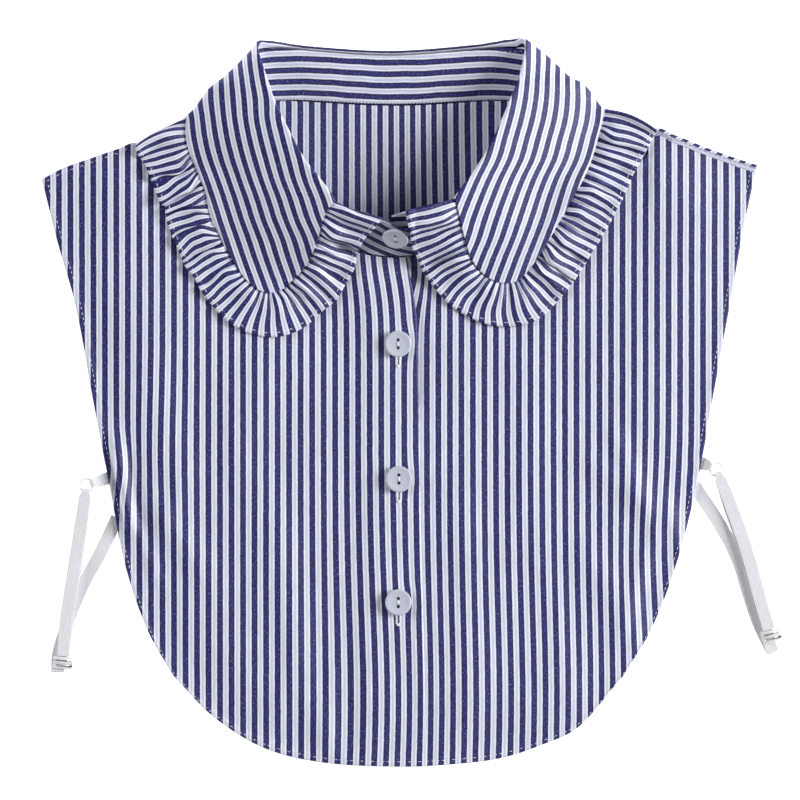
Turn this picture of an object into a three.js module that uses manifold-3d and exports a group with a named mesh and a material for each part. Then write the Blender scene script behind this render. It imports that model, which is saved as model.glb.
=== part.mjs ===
// Detachable shirt collar with a short bib, lying flat on its back with the front up.
// Units are millimetres. +Z is up, +Y points to the head, +X is the wearer's left.
// The origin is on the floor under the middle of the back panel.
// Right and left are the wearer's, so the right half has negative X.
import * as THREE from 'three';
import { mergeVertices } from 'three/addons/utils/BufferGeometryUtils.js';
import Module from 'manifold-3d';

const wasm = await Module();
wasm.setup();

// Cloth and clearances
const CLOTH = 1.0;
const GAP = 0.35;
const LAYER = CLOTH + GAP;
const BACK_INSET = 1.4;

// Neckline: a half ellipse in front, a shallow curve behind
const NECK = { x: -3, y: 141, halfWidth: 68.25, depth: 73.5, backDip: 1.4, backRise: 1.8 };
const STAND_OFFSET = 0.9;
const DEGREE = Math.PI / 180;
const NORMAL_STEP = 0.002;

// Body outline, from the low side corners to the shoulder tips
const ARMHOLE = table(['y', 'right', 'left'], [
  [-131, -107.5, 106],
  [-110, -119.5, 119],
  [-80, -130, 131],
  [-40, -138, 141.5],
  [0, -145.7, 149],
  [45, -154, 157.5],
  [75, -162.5, 163],
  [105, -170, 169.5],
]);
const HEM = table(['x', 'y'], [
  [-107.5, -131],
  [-89, -150],
  [-65, -165],
  [-37, -172],
  [0, -174],
  [24, -173],
  [48, -170],
  [68, -163.5],
  [85, -155],
  [106, -131],
]);
const RIGHT_SHOULDER = table(['x', 'y'], [
  [-170, 104.8],
  [-160, 110],
  [-147, 114.6],
  [-134, 119.0],
  [-124, 121.4],
  [-121.4, 111],
  [-112, 110],
  [-101, 116],
  [-88, 127],
  [-71.25, 141],
]);
const LEFT_SHOULDER = table(['x', 'y'], [
  [65.25, 141],
  [81, 131],
  [95, 121.5],
  [107, 115.5],
  [117.2, 115.5],
  [120.4, 128.2],
  [131, 125.6],
  [144, 120.5],
  [157, 115.8],
  [170, 111.6],
]);
const BUTTON_EDGE = table(['y', 'x'], [
  [-174, 12.8],
  [-40, 9.5],
  [28, 8.3],
  [43, 7.5],
  [67.6, 3.1],
]);
const UNDERLAP_EDGE = -10;
const NECK_ENDS = { right: 275.1, left: -95.9 };

// Cells of each sheet, along and across. The fronts have one column for each shoulder row.
const CELLS = {
  front: [2 * (RIGHT_SHOULDER.length - 1), 21],
  back: [26, 14],
  stand: [50, 3],
  leaf: [56, 6],
  frill: [190, 2],
};

// Where the leaf's cells lie: rows crowd at the roll, columns where it passes under the shoulders
const LEAF_ROWS = table(['cells', 'across'], [
  [0, 0],
  [1, 0.052],
  [2, 0.085],
  [3, 0.14],
  [4, 0.4],
  [5, 0.7],
  [6, 1],
]);
const LEAF_COLUMNS = table(['cells', 'turn'], [
  [0, 244],
  [6, 202],
  [22, 168],
  [37, 14],
  [49, -19],
  [56, -63],
]);

// Heights of the panels over the floor
const BACK_LEVEL = CLOTH / 2;
const COLLAR_ROOM = { height: 3.3, from: 56, run: 56, tip: 172, tipRun: 50 };
const PILLOW = { height: 1.8, run: 35 };
const NECK_RISE = { height: 3.6, reach: 26 };
const OVERLAP = { reach: 28, run: 16, room: 0.65, step: LAYER + 0.1 };
const EDGE_FADE = 6;
const LAP_MARGIN = 3;
const REST_BLEND = 1.5;

// Soft ridges across the front panels
const RIDGES = table(['x0', 'y0', 'x1', 'y1', 'width', 'height'], [
  [-136, -22, -131, -62, 5, 1.6],
  [-118, -48, -97, -78, 7, 1.3],
  [-58, -64, -50, -116, 8, 1.2],
  [-40, -150, -30, -170, 8, 1.0],
  [-126, 30, -112, -20, 11, 1.0],
  [-66, 40, -74, -30, 12, 0.8],
  [60, 40, 66, -60, 12, 0.8],
  [96, -34, 128, -58, 7, 1.3],
  [92, -78, 112, -112, 8, 1.2],
  [30, -60, 34, -140, 9, 0.9],
]);

// Collar sections around the neck. turn is in degrees: 270 or -90 is the front, 90 the back.
// Each row holds the roll line, the middle of the leaf and its outer edge.
const SECTIONS = table(
  ['turn', 'rollX', 'rollY', 'rollZ', 'midX', 'midY', 'midZ', 'edgeX', 'edgeY', 'edgeZ'],
  [
    [-88, 14.2, 68, 19, 36.2, 58.4, 8.8, 58.2, 48.9, 5],
    [-63, 26.1, 95.5, 27, 48.5, 85.7, 16.5, 70.8, 76, 5],
    [-48, 36.3, 110.2, 27, 58.5, 101.9, 17, 80.7, 93.6, 5.2],
    [-34, 44.7, 124.5, 25.5, 67.2, 117.8, 17, 89.8, 111.2, 6.5],
    [-19, 52.1, 141.6, 23, 75.5, 139.5, 15.5, 96.9, 136.3, 5],
    [-15.5, 54.3, 146.8, 21.6, 87.4, 148.2, 10.5, 95.5, 138, 3.2],
    [-12, 56.5, 152, 20, 81.7, 152, 8, 87.9, 134.4, 0.8],
    [12, 59.4, 169.5, 15.5, 67, 163.4, 5.5, 70.3, 134, 0.8],
    [28, 53.2, 170.5, 13.5, 56, 158, 1.8, 61.8, 133.5, 0.8],
    [57, 33.7, 167.8, 10, 34, 157, 1.2, 38.5, 133, 0.8],
    [90, -4.3, 165.2, 8.5, -4.3, 156, 1.1, -4.3, 133, 0.8],
    [123, -42.3, 167.3, 9, -42, 157, 1.2, -44.2, 133, 0.8],
    [150, -63.6, 170, 11, -64, 158, 1.5, -65.5, 133, 0.8],
    [168, -67.6, 167.7, 13.5, -73.5, 160, 3, -73.2, 133.5, 0.8],
    [187, -64.1, 154.9, 19, -85, 151.5, 7, -87.9, 133.7, 0.8],
    [192.5, -62, 149, 20.5, -89.5, 147, 10.5, -98.5, 136, 2.8],
    [198, -59.9, 142.7, 22, -80.6, 139.5, 15.5, -101.4, 133, 5],
    [209, -54.2, 130.6, 24.3, -77.3, 125.2, 16.8, -100.5, 119.7, 6.8],
    [223, -45.8, 115, 26.3, -69.2, 107.4, 16.5, -92.6, 99.8, 5.4],
    [233, -38.5, 105.2, 27.2, -64.2, 96.4, 16.8, -90, 87.6, 5],
    [244, -30.6, 93.6, 27, -57.2, 83.7, 16.5, -83.8, 73.9, 5],
    [267, -20.4, 65.6, 19, -46.8, 55.8, 8.8, -73.2, 46, 5],
  ],
);
const LEAF_SEAM_DROP = 3.0;
const ROLL = { along: 3.0, out: 1.0 };
const LEAF_REACH = 0.8;
const RIGHT_FRONT = { turn: 244, perDegree: 1.29 };
const LEFT_FRONT = { turn: -63, perDegree: 1.19 };
const RIGHT_FOLD = { from: 190, run: 9 };
const LEFT_FOLD = { from: -9, run: 10 };
const FLOOR_CLEARANCE = CLOTH / 2 + 0.2;

// Rounded collar points: how far the cloth reaches past the front section, across the leaf
const COLLAR_POINT = table(['across', 'right', 'left'], [
  [0, 0, 0],
  [0.05, 0, 0],
  [0.18, 5.4, 9],
  [0.31, 15, 16.5],
  [0.46, 23, 23.8],
  [0.58, 26.8, 27],
  [0.69, 29.8, 28.2],
  [0.77, 30.3, 27.8],
  [0.87, 26.2, 25.2],
  [0.93, 20, 20.8],
  [0.98, 8.5, 9],
  [1, 0, 0],
]);

const POINT_RUN = 0.16;

// Top edge of the stand in front of the leaf
const STAND_TOP = table(['turn', 'x', 'y', 'z'], [
  [-96, -4.3, 87.4, 19.3],
  [-90, 1.4, 89.3, 20],
  [-82, 8.6, 91.7, 21.5],
  [-72, 17.6, 93.5, 23.3],
  [244, -30.8, 91.4, 24.1],
  [252, -22.8, 90.5, 24.2],
  [261, -13.3, 87.9, 24.2],
  [268, -6.7, 84.6, 24],
  [274, -1, 82, 23.8],
  [279, 4.3, 81, 23.6],
]);
const STAND_ENDS = { right: 279, left: -96 };
const STAND_SHOULDER = { turn: 176, run: 12 };
const LEAF_REST = 0.75;
const FRILL_SEAM = 0.75;
const STAND_SLOPE = { rise: 59, top: 15.5 };
const UNDER_END = { back: 0.8, drop: 0.3, run: 30 };

// Frill along the leaf's free edge. lift is the height over the panel near its two ends.
const FRILL = { gathered: 0.25, wave: 2.0, hiddenWave: 0.7, pitch: 9, drift: 61, sway: 0.35, settle: 1.15, fan: 9, climb: 5, foldGap: 2.0, foldReach: 24 };
const FRILL_ENDS = table(['along', 'rightWidth', 'rightLift', 'leftWidth', 'leftLift'], [
  [0, 24, 1.5, 23, 3],
  [9, 21.5, 1.6, 23.5, 5],
  [17, 19, 1.2, 23.5, 4],
  [26, 19.3, 0.4, 23, 1.6],
  [35, 19.5, 0, 21.2, 0.5],
  [50, 19.5, 0, 19.5, 0],
]);
const RIM = { from: 0.05, ends: 26, side: 110, inset: 0.01, smoothing: 3 };
const FRILL_END_HEADING = { right: -20, left: -164, stations: 8 };
const FRILL_FOLDS = {
  right: { sign: -1, heading: -151, extraWidth: 1.8 },
  left: { sign: 1, heading: -20, extraWidth: 3.6 },
};

// Buttons and buttonholes
const BUTTON = { radius: 6.25, height: 2.2, rim: 1.1, dish: 0.7, hole: 0.7, spread: 1.9, sides: 16, gap: 0.45 };
const BUTTONS = table(['x', 'y'], [
  [-0.9, 26.7],
  [-0.5, -37.5],
  [-0.8, -96],
]);
const COLLAR_BUTTON = { turn: 272.4, across: 0.7 };
const BUTTONHOLE = { length: 13.5, width: 0.9, drop: 3.2, depth: 8 };

// Elastic straps: tab, ring and slider on each side
const ELASTIC = { width: 6, thickness: 0.8, neck: 3.2 };
const RING = { radius: 3.1, wire: 0.45, z: 2.4, segments: 20, sides: 6 };
const EYE = { radius: 1.0, wall: 0.7 };
const RUNS = { low: 0.5, middle: 1.75, high: 3.0 };
const SLIDER = { length: 5.7, width: 9, height: 1.3, bar: 1.4, lift: 2.75 };
const STRAPS = {
  right: {
    ring: [-148.7, -40.4],
    tabFrom: [-139.0, -37.2],
    anchor: [-136.9, -61.3],
    low: [[-143.9, -74.1], [-151.5, -86.9], [-155.3, -105.5], [-160.3, -123.5]],
    loop: [-161.6, -128.6],
    middle: [[-160.6, -122], [-158, -106], [-154.8, -84.1], [-151.4, -60]],
    high: [[-151.6, -60], [-155.4, -84.1], [-158.6, -106], [-159.9, -121.6]],
  },
  left: {
    ring: [150.3, -32.9],
    tabFrom: [143.9, -30.2],
    anchor: [142.2, -44.2],
    low: [[151.5, -63.7], [160.6, -87.4], [166.3, -103], [174, -114.5]],
    loop: [176.9, -119.2],
    middle: [[174.2, -110.5], [170.6, -96], [163.3, -70], [157, -52]],
    high: [[157.8, -52], [164.1, -70], [171.4, -96], [175.2, -109]],
  },
};

const FINISH = {
  stripedCotton: { color: 0x6f74a8, roughness: 0.9, metalness: 0 },
  buttonWhite: { color: 0xe9eaf2, roughness: 0.3, metalness: 0 },
  elasticWhite: { color: 0xeeeeec, roughness: 0.85, metalness: 0 },
  hardwareWhite: { color: 0xe6e6e6, roughness: 0.35, metalness: 0 },
};

// Rows with named columns
function table(columns, rows) {
  return rows.map((row) => Object.fromEntries(columns.map((name, i) => [name, row[i]])));
}

// Smooth value of a column at a key, through the rows of a table
function read(rows, key, column, at) {
  const last = rows.length - 1;
  let i = 0;
  while (i < last - 1 && at > rows[i + 1][key]) i += 1;
  const slope = (j) => {
    const a = rows[Math.max(j - 1, 0)];
    const b = rows[Math.min(j + 1, last)];
    return (b[column] - a[column]) / (b[key] - a[key]);
  };
  const span = rows[i + 1][key] - rows[i][key];
  const t = THREE.MathUtils.clamp((at - rows[i][key]) / span, 0, 1);
  const h = t * t * (3 - 2 * t);
  const start = (t * t * t - 2 * t * t + t) * span * slope(i);
  const end = (t * t * t - t * t) * span * slope(i + 1);
  return rows[i][column] * (1 - h) + rows[i + 1][column] * h + start + end;
}

function ease(t) {
  return THREE.MathUtils.smoothstep(t, 0, 1);
}

function mix(a, b, t) {
  return a + (b - a) * t;
}

// Larger of two heights, with a soft change between them
function softMax(a, b, blend) {
  const d = THREE.MathUtils.clamp(0.5 + (0.5 * (a - b)) / blend, 0, 1);
  return mix(b, a, d) + blend * d * (1 - d);
}

// Neck curve at a turn, moved inwards by an offset
function neckPoint(turn, offset) {
  const c = Math.cos(turn * DEGREE);
  const s = Math.sin(turn * DEGREE);
  const x = NECK.x + (NECK.halfWidth - offset) * c;
  if (s < 0) return new THREE.Vector2(x, NECK.y + (NECK.depth - offset) * s);
  const rise = NECK.backRise * (4 * s * s * c * c);
  return new THREE.Vector2(x, NECK.y - NECK.backDip * s + rise + offset * s);
}

// Place along a shoulder, one table row for each equal step
function shoulderPoint(rows, t) {
  const at = t * (rows.length - 1);
  const i = Math.min(Math.floor(at), rows.length - 2);
  const x = mix(rows[i].x, rows[i + 1].x, at - i);
  return new THREE.Vector2(x, read(rows, 'x', 'y', x));
}

// Top lines run from the wearer's right to left
function rightTop(s) {
  if (s < 0.5) return shoulderPoint(RIGHT_SHOULDER, 2 * s);
  return neckPoint(mix(180, NECK_ENDS.right, 2 * s - 1), 0);
}

function leftTop(s) {
  if (s > 0.5) return shoulderPoint(LEFT_SHOULDER, 2 * s - 1);
  return neckPoint(mix(NECK_ENDS.left, 0, 2 * s), 0);
}

function backTop(s) {
  const shoulder = (RIGHT_SHOULDER.length - 1) / CELLS.back[0];
  if (s < shoulder) return shoulderPoint(RIGHT_SHOULDER, s / shoulder);
  if (s > 1 - shoulder) return shoulderPoint(LEFT_SHOULDER, 1 - (1 - s) / shoulder);
  return neckPoint(mix(180, 0, (s - shoulder) / (1 - 2 * shoulder)), 0);
}

function hemPoint(x) {
  return new THREE.Vector2(x, read(HEM, 'x', 'y', x));
}

function armholePoint(side, t) {
  const tip = side === 'right' ? RIGHT_SHOULDER[0] : LEFT_SHOULDER.at(-1);
  const y = mix(ARMHOLE[0].y, tip.y, t);
  const scaled = mix(ARMHOLE[0].y, ARMHOLE.at(-1).y, t);
  return new THREE.Vector2(read(ARMHOLE, 'y', side, scaled), y);
}

// Place inside four border curves that share their corners
function patch(bottom, top, near, far, u, v) {
  const b = bottom(u);
  const t = top(u);
  const l = near(v);
  const r = far(v);
  const corner = (axis) =>
    (1 - u) * (1 - v) * bottom(0)[axis] + u * (1 - v) * bottom(1)[axis] +
    (1 - u) * v * top(0)[axis] + u * v * top(1)[axis];
  return new THREE.Vector2(
    (1 - v) * b.x + v * t.x + (1 - u) * l.x + u * r.x - corner('x'),
    (1 - v) * b.y + v * t.y + (1 - u) * l.y + u * r.y - corner('y'),
  );
}

function backHeight(x, y) {
  const along = ease((y - COLLAR_ROOM.from) / COLLAR_ROOM.run);
  const across = ease((COLLAR_ROOM.tip - Math.abs(x)) / COLLAR_ROOM.tipRun);
  return BACK_LEVEL + COLLAR_ROOM.height * along * across;
}

function shoulderHeight(x) {
  if (x < RIGHT_SHOULDER.at(-1).x) return read(RIGHT_SHOULDER, 'x', 'y', x);
  if (x > LEFT_SHOULDER[0].x) return read(LEFT_SHOULDER, 'x', 'y', x);
  return NECK.y;
}

// Height of one soft ridge at a place
function ridgeHeight(ridge, x, y) {
  const dx = ridge.x1 - ridge.x0;
  const dy = ridge.y1 - ridge.y0;
  const length = Math.hypot(dx, dy);
  const along = ((x - ridge.x0) * dx + (y - ridge.y0) * dy) / length;
  const across = ((x - ridge.x0) * dy - (y - ridge.y0) * dx) / length;
  const past = Math.max(0, -along, along - length);
  return ridge.height * Math.exp(-((across / ridge.width) ** 2) - (past / (2 * ridge.width)) ** 2);
}

// Middle of the front cloth where the two halves don't overlap
function frontHeight(x, y) {
  const side = x < 0 ? 'right' : 'left';
  const scaled = THREE.MathUtils.clamp(y, ARMHOLE[0].y, ARMHOLE.at(-1).y);
  const fromSide = Math.abs(read(ARMHOLE, 'y', side, scaled)) - Math.abs(x);
  const fromHem = y - read(HEM, 'x', 'y', THREE.MathUtils.clamp(x, HEM[0].x, HEM.at(-1).x));
  const fromTop = shoulderHeight(x) - y;
  const inner = ease(fromSide / PILLOW.run) * ease(fromHem / PILLOW.run) * ease(fromTop / PILLOW.run);
  const ridges = RIDGES.reduce((sum, ridge) => sum + ridgeHeight(ridge, x, y), 0);
  const around = Math.hypot((x - NECK.x) / NECK.halfWidth, (y - NECK.y) / NECK.depth);
  const fromNeck = Math.max(0, around - 1) * NECK.halfWidth;
  const rise = NECK_RISE.height * Math.exp(-((fromNeck / NECK_RISE.reach) ** 2)) * ease((NECK.y - y) / PILLOW.run);
  const middle = OVERLAP.room * ease((OVERLAP.reach - Math.abs(x)) / OVERLAP.run);
  const border = ease(Math.min(fromSide, fromHem) / EDGE_FADE);
  return backHeight(x, y) + LAYER + PILLOW.height * inner + rise + middle + ridges * border;
}

function lapStep(x) {
  return (OVERLAP.step / 2) * ease((OVERLAP.reach - Math.abs(x)) / OVERLAP.run);
}

function rightFrontHeight(x, y) {
  return frontHeight(x, y) + lapStep(x);
}

function leftFrontHeight(x, y) {
  return frontHeight(x, y) - lapStep(x);
}

// Upper face of whichever front panel is on top at a place
function frontFace(x, y) {
  const edge = read(BUTTON_EDGE, 'y', 'x', THREE.MathUtils.clamp(y, BUTTON_EDGE[0].y, BUTTON_EDGE.at(-1).y));
  const middle = x < edge + LAP_MARGIN ? rightFrontHeight(x, y) : leftFrontHeight(x, y);
  return middle + CLOTH / 2;
}

// Upper face of the panels and of the stand that leans inwards from them
function groundFace(x, y) {
  const around = Math.hypot((x - NECK.x) / NECK.halfWidth, (y - NECK.y) / NECK.depth);
  const rise = y < NECK.y ? STAND_SLOPE.rise * Math.max(0, 1 - around) : 0;
  return frontFace(x, y) + Math.min(rise, STAND_SLOPE.top);
}

function rightFront(u, v) {
  const place = patch(
    (s) => hemPoint(mix(HEM[0].x, BUTTON_EDGE[0].x, s)),
    rightTop,
    (t) => armholePoint('right', t),
    (t) => {
      const y = mix(hemPoint(BUTTON_EDGE[0].x).y, rightTop(1).y, t);
      return new THREE.Vector2(read(BUTTON_EDGE, 'y', 'x', y), y);
    },
    u, v,
  );
  return new THREE.Vector3(place.x, place.y, rightFrontHeight(place.x, place.y));
}

function leftFront(u, v) {
  const place = patch(
    (s) => hemPoint(mix(UNDERLAP_EDGE, HEM.at(-1).x, s)),
    leftTop,
    (t) => new THREE.Vector2(
      mix(UNDERLAP_EDGE, leftTop(0).x, t),
      mix(hemPoint(UNDERLAP_EDGE).y, leftTop(0).y, t),
    ),
    (t) => armholePoint('left', t),
    u, v,
  );
  return new THREE.Vector3(place.x, place.y, leftFrontHeight(place.x, place.y));
}

function backPanel(u, v) {
  const place = patch(
    (s) => hemPoint(mix(HEM[0].x, HEM.at(-1).x, s)),
    backTop,
    (t) => armholePoint('right', t),
    (t) => armholePoint('left', t),
    u, v,
  );
  const inset = 1 - BACK_INSET / ARMHOLE.at(-1).left;
  const x = place.x * inset;
  const y = place.y < 0 ? place.y * inset : place.y;
  return new THREE.Vector3(x, y, backHeight(x, y));
}

// Lower edge of the stand: just inside the neckline, level with the panels
function standFoot(turn) {
  const offset = STAND_OFFSET + (turn < STAND_ENDS.left + UNDER_END.run
    ? UNDER_END.back * ease((STAND_ENDS.left + UNDER_END.run - turn) / UNDER_END.run) : 0);
  const place = neckPoint(turn, offset);
  const past = Math.max(turn - STAND_SHOULDER.turn, 180 - STAND_SHOULDER.turn - turn);
  const front = ease(1 + past / STAND_SHOULDER.run);
  const lower = turn < 0;
  const cloth = lower ? leftFrontHeight(place.x, place.y) - UNDER_END.drop : rightFrontHeight(place.x, place.y);
  return new THREE.Vector3(place.x, place.y, mix(backHeight(place.x, place.y), cloth, front));
}

function sectionPoint(name, turn) {
  return new THREE.Vector3(
    read(SECTIONS, 'turn', `${name}X`, turn),
    read(SECTIONS, 'turn', `${name}Y`, turn),
    read(SECTIONS, 'turn', `${name}Z`, turn),
  );
}

// Seam between the stand and the leaf, a little below the roll line
function leafSeam(turn) {
  const roll = sectionPoint('roll', turn);
  const foot = standFoot(THREE.MathUtils.clamp(turn, LEFT_FRONT.turn, RIGHT_FRONT.turn));
  return roll.clone().add(foot.sub(roll).setLength(LEAF_SEAM_DROP));
}

function standTop(turn) {
  if (turn >= LEFT_FRONT.turn && turn <= RIGHT_FRONT.turn) return leafSeam(turn);
  return new THREE.Vector3(
    read(STAND_TOP, 'turn', 'x', turn),
    read(STAND_TOP, 'turn', 'y', turn),
    read(STAND_TOP, 'turn', 'z', turn),
  );
}

function stand(u, v) {
  const turn = mix(STAND_ENDS.right, STAND_ENDS.left, u);
  const foot = standFoot(turn);
  const top = standTop(turn);
  const up = top.clone().sub(foot);
  top.sub(up.clone().setLength(CLOTH / 2 + GAP));
  return foot.lerp(top, v);
}

// 1 where the leaf lies over the front panels, 0 where it lies under the back panel
function overFront(turn) {
  if (turn > 90) return ease((turn - RIGHT_FOLD.from) / RIGHT_FOLD.run);
  return ease((LEFT_FOLD.from - turn) / LEFT_FOLD.run);
}

function pointReach(column, across) {
  return read(COLLAR_POINT, 'across', column, across);
}

// One section of the leaf: up from the seam, round the roll and out to the edge
function leafCurve(turn) {
  const seam = leafSeam(turn);
  const roll = sectionPoint('roll', turn);
  const mid = sectionPoint('mid', turn);
  const outwards = mid.clone().sub(roll).normalize();
  const bulge = roll.clone().sub(seam).projectOnPlane(outwards).setLength(ROLL.out);
  const over = roll.clone().addScaledVector(outwards, ROLL.along).add(bulge);
  const curve = new THREE.CatmullRomCurve3(
    [seam, roll, over, mid, sectionPoint('edge', turn)],
    false, 'centripetal',
  );
  curve.arcLengthDivisions = 48;
  return curve;
}

function leafTurn(u, v) {
  const right = (pointReach('right', v) / RIGHT_FRONT.perDegree) * ease(1 - u / POINT_RUN);
  const left = (pointReach('left', v) / LEFT_FRONT.perDegree) * ease(1 - (1 - u) / POINT_RUN);
  return mix(RIGHT_FRONT.turn, LEFT_FRONT.turn, u) + right - left;
}

function leaf(u, v) {
  const turn = leafTurn(u, v);
  const point = leafCurve(turn).getPointAt(v);
  point.z = Math.max(point.z, FLOOR_CLEARANCE);
  const clear = frontFace(point.x, point.y) + CLOTH / 2 + LEAF_REST;
  const front = overFront(turn);
  if (front > 0) point.z = mix(point.z, softMax(point.z, clear, REST_BLEND), front);
  return point;
}

// Value of a column after a number of cells, straight between the rows
function spread(rows, column, cells) {
  const i = rows.findIndex((row, k) => k === rows.length - 2 || cells < rows[k + 1].cells);
  const t = (cells - rows[i].cells) / (rows[i + 1].cells - rows[i].cells);
  return mix(rows[i][column], rows[i + 1][column], t);
}

// The leaf over its uneven cells
function leafByCells(u, v) {
  const turn = spread(LEAF_COLUMNS, 'turn', u * CELLS.leaf[0]);
  const across = spread(LEAF_ROWS, 'across', v * CELLS.leaf[1]);
  return leaf((RIGHT_FRONT.turn - turn) / (RIGHT_FRONT.turn - LEFT_FRONT.turn), across);
}

// Normal of a surface by small steps along and across
function surfaceNormal(surface, u, v, stepU = NORMAL_STEP, stepV = NORMAL_STEP) {
  const u0 = Math.max(u - stepU, 0);
  const u1 = Math.min(u + stepU, 1);
  const v0 = Math.max(v - stepV, 0);
  const v1 = Math.min(v + stepV, 1);
  const along = surface(u1, v).sub(surface(u0, v));
  const across = surface(u, v1).sub(surface(u, v0));
  return along.cross(across).normalize();
}

// The leaf's free edge as evenly spaced stations, each with its place and outward direction
function leafRim(count) {
  const raw = [];
  const push = (u, v) => raw.push({ u, v });
  const { from, ends, side } = RIM;
  for (let i = 0; i < ends; i += 1) push(0, mix(from, 1, i / ends));
  for (let i = 0; i <= side; i += 1) push(i / side, 1);
  for (let i = ends - 1; i >= 0; i -= 1) push(1, mix(from, 1, i / ends));
  raw.forEach((station) => {
    station.point = leaf(station.u, station.v);
    const u = THREE.MathUtils.clamp(station.u, RIM.inset, 1 - RIM.inset);
    station.normal = surfaceNormal(leaf, u, Math.min(station.v, 1 - RIM.inset));
  });
  let length = 0;
  raw.forEach((station, i) => {
    if (i > 0) length += station.point.distanceTo(raw[i - 1].point);
    station.along = length;
    const before = raw[Math.max(i - 1, 0)].point;
    const after = raw[Math.min(i + 1, raw.length - 1)].point;
    const heading = after.clone().sub(before).normalize();
    station.out = station.normal.clone().cross(heading).setZ(0).normalize();
  });
  const stations = [];
  let k = 0;
  for (let i = 0; i <= count; i += 1) {
    const at = (length * i) / count;
    while (k < raw.length - 2 && raw[k + 1].along < at) k += 1;
    const t = (at - raw[k].along) / (raw[k + 1].along - raw[k].along);
    stations.push({
      along: at,
      left: length - at,
      point: raw[k].point.clone().lerp(raw[k + 1].point, t),
      out: raw[k].out.clone().lerp(raw[k + 1].out, t).normalize(),
      away: 0,
      widen: 0,
      over: 0,
    });
  }
  smoothDirections(stations);
  squareEnd(stations, FRILL_END_HEADING.right);
  squareEnd([...stations].reverse(), FRILL_END_HEADING.left);
  Object.values(FRILL_FOLDS).forEach((fold) => foldOver(stations, fold));
  return stations;
}

function smoothDirections(stations) {
  const reach = RIM.smoothing;
  const smooth = stations.map((_, i) => {
    const sum = new THREE.Vector3();
    for (let j = -reach; j <= reach; j += 1) {
      sum.add(stations[THREE.MathUtils.clamp(i + j, 0, stations.length - 1)].out);
    }
    return sum.normalize();
  });
  stations.forEach((station, i) => { station.out = smooth[i]; });
}

function headingVector(degrees) {
  return new THREE.Vector3(Math.cos(degrees * DEGREE), Math.sin(degrees * DEGREE), 0);
}

// The first stations turn towards the heading of the strip's end
function squareEnd(stations, degrees) {
  const end = headingVector(degrees);
  const count = FRILL_END_HEADING.stations;
  const own = stations[count].out.clone();
  for (let i = 0; i < count; i += 1) stations[i].out = end.clone().lerp(own, i / count).normalize();
}

// At each shoulder the strip swings to one heading while it passes from under to over.
function foldOver(stations, { sign, heading, extraWidth }) {
  const outwards = headingVector(heading);
  const middle = stations.length / 2;
  const half = stations.map((station, i) => ({ station, i })).filter(({ i }) => (i - middle) * sign > 0);
  const fold = half.reduce((best, item) =>
    (sign * item.station.point.x > sign * best.station.point.x ? item : best)).i;
  [-1, 1].forEach((way) => {
    const own = stations[fold + way * FRILL.fan].out;
    for (let k = 0; k < FRILL.fan; k += 1) {
      stations[fold + way * k].out = outwards.clone().lerp(own, ease(k / FRILL.fan)).normalize();
      stations[fold + way * k].away = FRILL.foldGap * ease(1 - k / FRILL.fan);
    }
  });
  half.forEach(({ station, i }) => {
    station.widen = extraWidth * ease(1 - Math.abs(i - fold) / FRILL.foldReach);
    station.over = ease(((i - fold) * sign + FRILL.climb) / FRILL.climb);
  });
}

function frill(stations) {
  const last = FRILL_ENDS.at(-1).along;
  return (u, v) => {
    const at = u * (stations.length - 1);
    const i = Math.min(Math.floor(at), stations.length - 2);
    const a = stations[i];
    const b = stations[i + 1];
    const t = at - i;
    const along = mix(a.along, b.along, t);
    const fromRight = along < a.left;
    const name = fromRight ? 'right' : 'left';
    const fromEnd = Math.min(fromRight ? along : mix(a.left, b.left, t), last);
    const width = read(FRILL_ENDS, 'along', `${name}Width`, fromEnd) + mix(a.widen, b.widen, t);
    const lift = read(FRILL_ENDS, 'along', `${name}Lift`, fromEnd);
    const out = a.out.clone().lerp(b.out, t).normalize();
    const rim = a.point.clone().lerp(b.point, t);
    const place = rim.clone().addScaledVector(out, CLOTH / 2 + FRILL_SEAM + mix(a.away, b.away, t) + v * width);
    const front = mix(a.over, b.over, t);
    const clear = groundFace(place.x, place.y) + CLOTH / 2 + GAP;
    const floor = mix(FLOOR_CLEARANCE, clear, front);
    const rest = floor + lift * front;
    const phase = 2 * Math.PI * (along / FRILL.pitch + FRILL.sway * Math.sin((2 * Math.PI * along) / FRILL.drift));
    const size = mix(FRILL.hiddenWave, FRILL.wave, front) * mix(FRILL.gathered, 1, ease(v));
    const base = mix(rim.z, rest, ease(v * FRILL.settle));
    place.z = Math.max(base, floor) + size * (0.5 - 0.5 * Math.cos(phase));
    return place;
  };
}

// Closed cloth sheet around a middle surface. reach is the step of its normals, in cells.
function sheet(surface, [columns, rows], reach = 0) {
  const steps = reach > 0 ? [reach / columns, reach / rows] : [];
  const geometry = new THREE.BoxGeometry(1, 1, 1, columns, rows, 1);
  const position = geometry.attributes.position;
  for (let i = 0; i < position.count; i += 1) {
    const u = position.getX(i) + 0.5;
    const v = position.getY(i) + 0.5;
    const side = position.getZ(i);
    const point = surface(u, v);
    point.addScaledVector(surfaceNormal(surface, u, v, ...steps), side * CLOTH);
    position.setXYZ(i, point.x, point.y, point.z);
  }
  return weld(geometry);
}

function weld(geometry) {
  geometry.deleteAttribute('normal');
  geometry.deleteAttribute('uv');
  return mergeVertices(geometry, 1e-3);
}

function toSolid(geometry) {
  return new wasm.Manifold(new wasm.Mesh({
    numProp: 3,
    vertProperties: new Float32Array(geometry.attributes.position.array),
    triVerts: new Uint32Array(geometry.index.array),
  }));
}

function toGeometry(solid) {
  const mesh = solid.getMesh();
  const geometry = new THREE.BufferGeometry();
  geometry.setAttribute('position', new THREE.BufferAttribute(mesh.vertProperties, 3));
  geometry.setIndex(new THREE.BufferAttribute(mesh.triVerts, 1));
  return geometry;
}

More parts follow.
